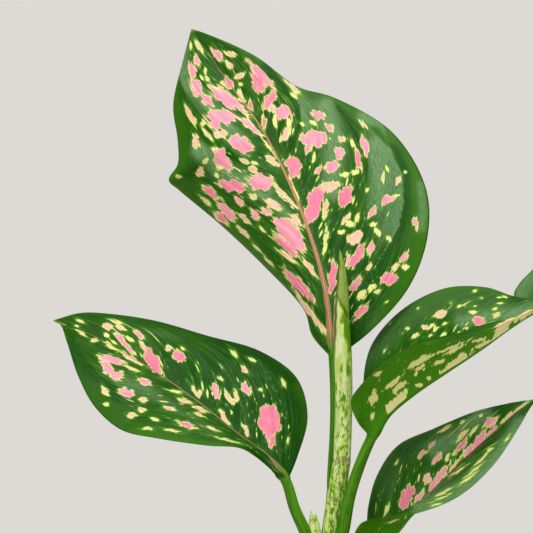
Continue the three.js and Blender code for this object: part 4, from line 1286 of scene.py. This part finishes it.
def makeSoilMaterial(name, first, second, scale):
    material, tree = newMaterial(name)
    cm = objectPlace(tree)[1]
    skin = mixed(fade(noise(cm, scale, 4.0, 0.65), 0.35, 0.65), first, second)
    if name == "mix":
        fibres = noise(stretched(cm, (0.4, 3.0, 1)), 6.0)
        skin = coat(skin, soilPaint["fibre"], fibres, 0.64, 0.72, 0.0, 0.6)
    grain = useGroup("grain", {"Vector": cm, "Scale": 16.0, "Depth": 1.0})
    finishMaterial(tree, {"Base Color": skin, "Roughness": soilPaint["rough"]}, grain, *soilPaint["bump"])
    return material


# strews bits of one kind over the faces that look up
def makeScatter():
    tree = bpy.data.node_groups.new("scatter", "GeometryNodeTree")
    sockets = [("Ground", "Geometry"), ("Density", "Float"), ("Smallest", "Float"), ("Largest", "Float"),
               ("Flatness", "Float"), ("Rough", "Float"), ("Seed", "Int"), ("Material", "Material")]
    for label, kind in sockets:
        tree.interface.new_socket(label, in_out="INPUT", socket_type="NodeSocket" + kind)
    tree.interface.new_socket("Bits", in_out="OUTPUT", socket_type="NodeSocketGeometry")
    given = tree.nodes.new("NodeGroupInput").outputs
    out = tree.nodes.new("NodeGroupOutput").inputs

    def scaled(vector, size):
        return wire("ShaderNodeVectorMath", {0: vector, "Scale": size}, operation="SCALE").outputs[0]

    up = calc("GREATER_THAN", parted(put(tree, "GeometryNodeInputNormal").outputs[0])[2], 0.6)
    spots = wire("GeometryNodeDistributePointsOnFaces",
                 {"Mesh": given["Ground"], "Selection": up, "Density": given["Density"],
                  "Seed": given["Seed"]}).outputs["Points"]
    ball = put(tree, "GeometryNodeMeshIcoSphere", {"Radius": 1.0, "Subdivisions": 1}).outputs["Mesh"]
    bends = put(tree, "ShaderNodeTexNoise", {"Scale": 1.3, "Detail": 1.0}).outputs["Color"]
    bends = wire("ShaderNodeVectorMath", {0: bends, 1: (0.5, 0.5, 0.5)}, operation="SUBTRACT").outputs[0]
    bends = scaled(scaled(bends, given["Rough"]), 3.0)
    bit = wire("GeometryNodeSetPosition", {"Geometry": ball, "Offset": bends}).outputs[0]
    turn = {0: (-0.5, -0.5, 0), 1: (0.5, 0.5, 6.28), "Seed": given["Seed"]}
    turn = wire("FunctionNodeRandomValue", turn, data_type="FLOAT_VECTOR").outputs[0]
    size = {2: given["Smallest"], 3: given["Largest"], "Seed": given["Seed"]}
    size = wire("FunctionNodeRandomValue", size, data_type="FLOAT").outputs[1]
    slim = put(tree, "FunctionNodeRandomValue", {2: 0.55, 3: 1.0, "Seed": 5}, data_type="FLOAT").outputs[1]
    strewn = wire("GeometryNodeInstanceOnPoints",
                  {"Points": spots, "Instance": bit, "Rotation": turn,
                   "Scale": scaled(joined(1.0, slim, given["Flatness"]), size)}).outputs[0]
    real = wire("GeometryNodeRealizeInstances", {"Geometry": strewn}).outputs[0]
    painted = wire("GeometryNodeSetMaterial", {"Geometry": real, "Material": given["Material"]}).outputs[0]
    tree.links.new(painted, out["Bits"])
    return tree


def makeSoil():
    inner = potOuter(soil["top"]) - pot["wall"] - soil["gap"]
    foot = pot["floor"] + soil["gap"]
    corners = [(0, foot), (potOuter(foot) - pot["wall"] - soil["gap"], foot), (inner, soil["top"])]
    corners += [(inner * out, soil["top"] + soil["crown"] * up) for out, up in soil["rise"]]
    points, faces = latheMesh(softLine(corners, soil["soft"], soil["step"]), soil["sides"], lumpy)
    mix = makeSoilMaterial("mix", soilPaint["dark"], soilPaint["light"], 5.0)
    ground = makePiece("soil_mix", points, faces, mix, "soil")
    kinds = dict(
        crumbs=makeSoilMaterial("crumbs", soilPaint["dark"], soilPaint["light"], 2.0),
        bark=makeSoilMaterial("bark", soilPaint["barkDark"], soilPaint["bark"], 3.0),
        perlite=makeSoilMaterial("perlite", soilPaint["perliteDark"], soilPaint["perlite"], 4.0))
    scatter = makeScatter()
    sockets = {item.name: item.identifier
               for item in scatter.interface.items_tree if item.in_out == "INPUT"}
    for name, bits in toppings.items():
        piece = bpy.data.objects.new("soil_" + name, ground.data.copy())
        bpy.context.scene.collection.objects.link(piece)
        modifier = piece.modifiers.new("scatter", "NODES")
        modifier.node_group = scatter
        values = dict(Density=float(bits["density"]), Smallest=bits["smallest"] * mm,
                      Largest=bits["largest"] * mm, Flatness=bits["flatness"], Rough=bits["rough"],
                      Seed=bits["seed"], Material=kinds[name])
        for label, value in values.items():
            modifier[sockets[label]] = value
        settle(piece)
        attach(piece, "root")


makeCamera()
makeStudio()
print("studio ready")
leafSkin = makeLeafSkin()
for name, spec in measuredLeaves.items():
    leafPiece(name, measuredLeaf(spec), leafSkin)
for name, spec in habitLeaves.items():
    leafPiece(name, habitLeaf(spec), leafSkin, habit["thin"])
print("leaves made")
shootSkin = makeShootSkin()
shootPiece("main_stem", [mainStem], shootSkin)
shootPiece("side_stem", [sideStem], shootSkin)
shootPiece("main_new_leaf", [mainNewLeaf], shootSkin, photo=True)
shootPiece("side_new_leaf", [sideNewLeaf], shootSkin)
shootPiece("young_shoot", youngTips, shootSkin)
print("shoots made")
makePot()
makeSoil()
print("pot and soil made")
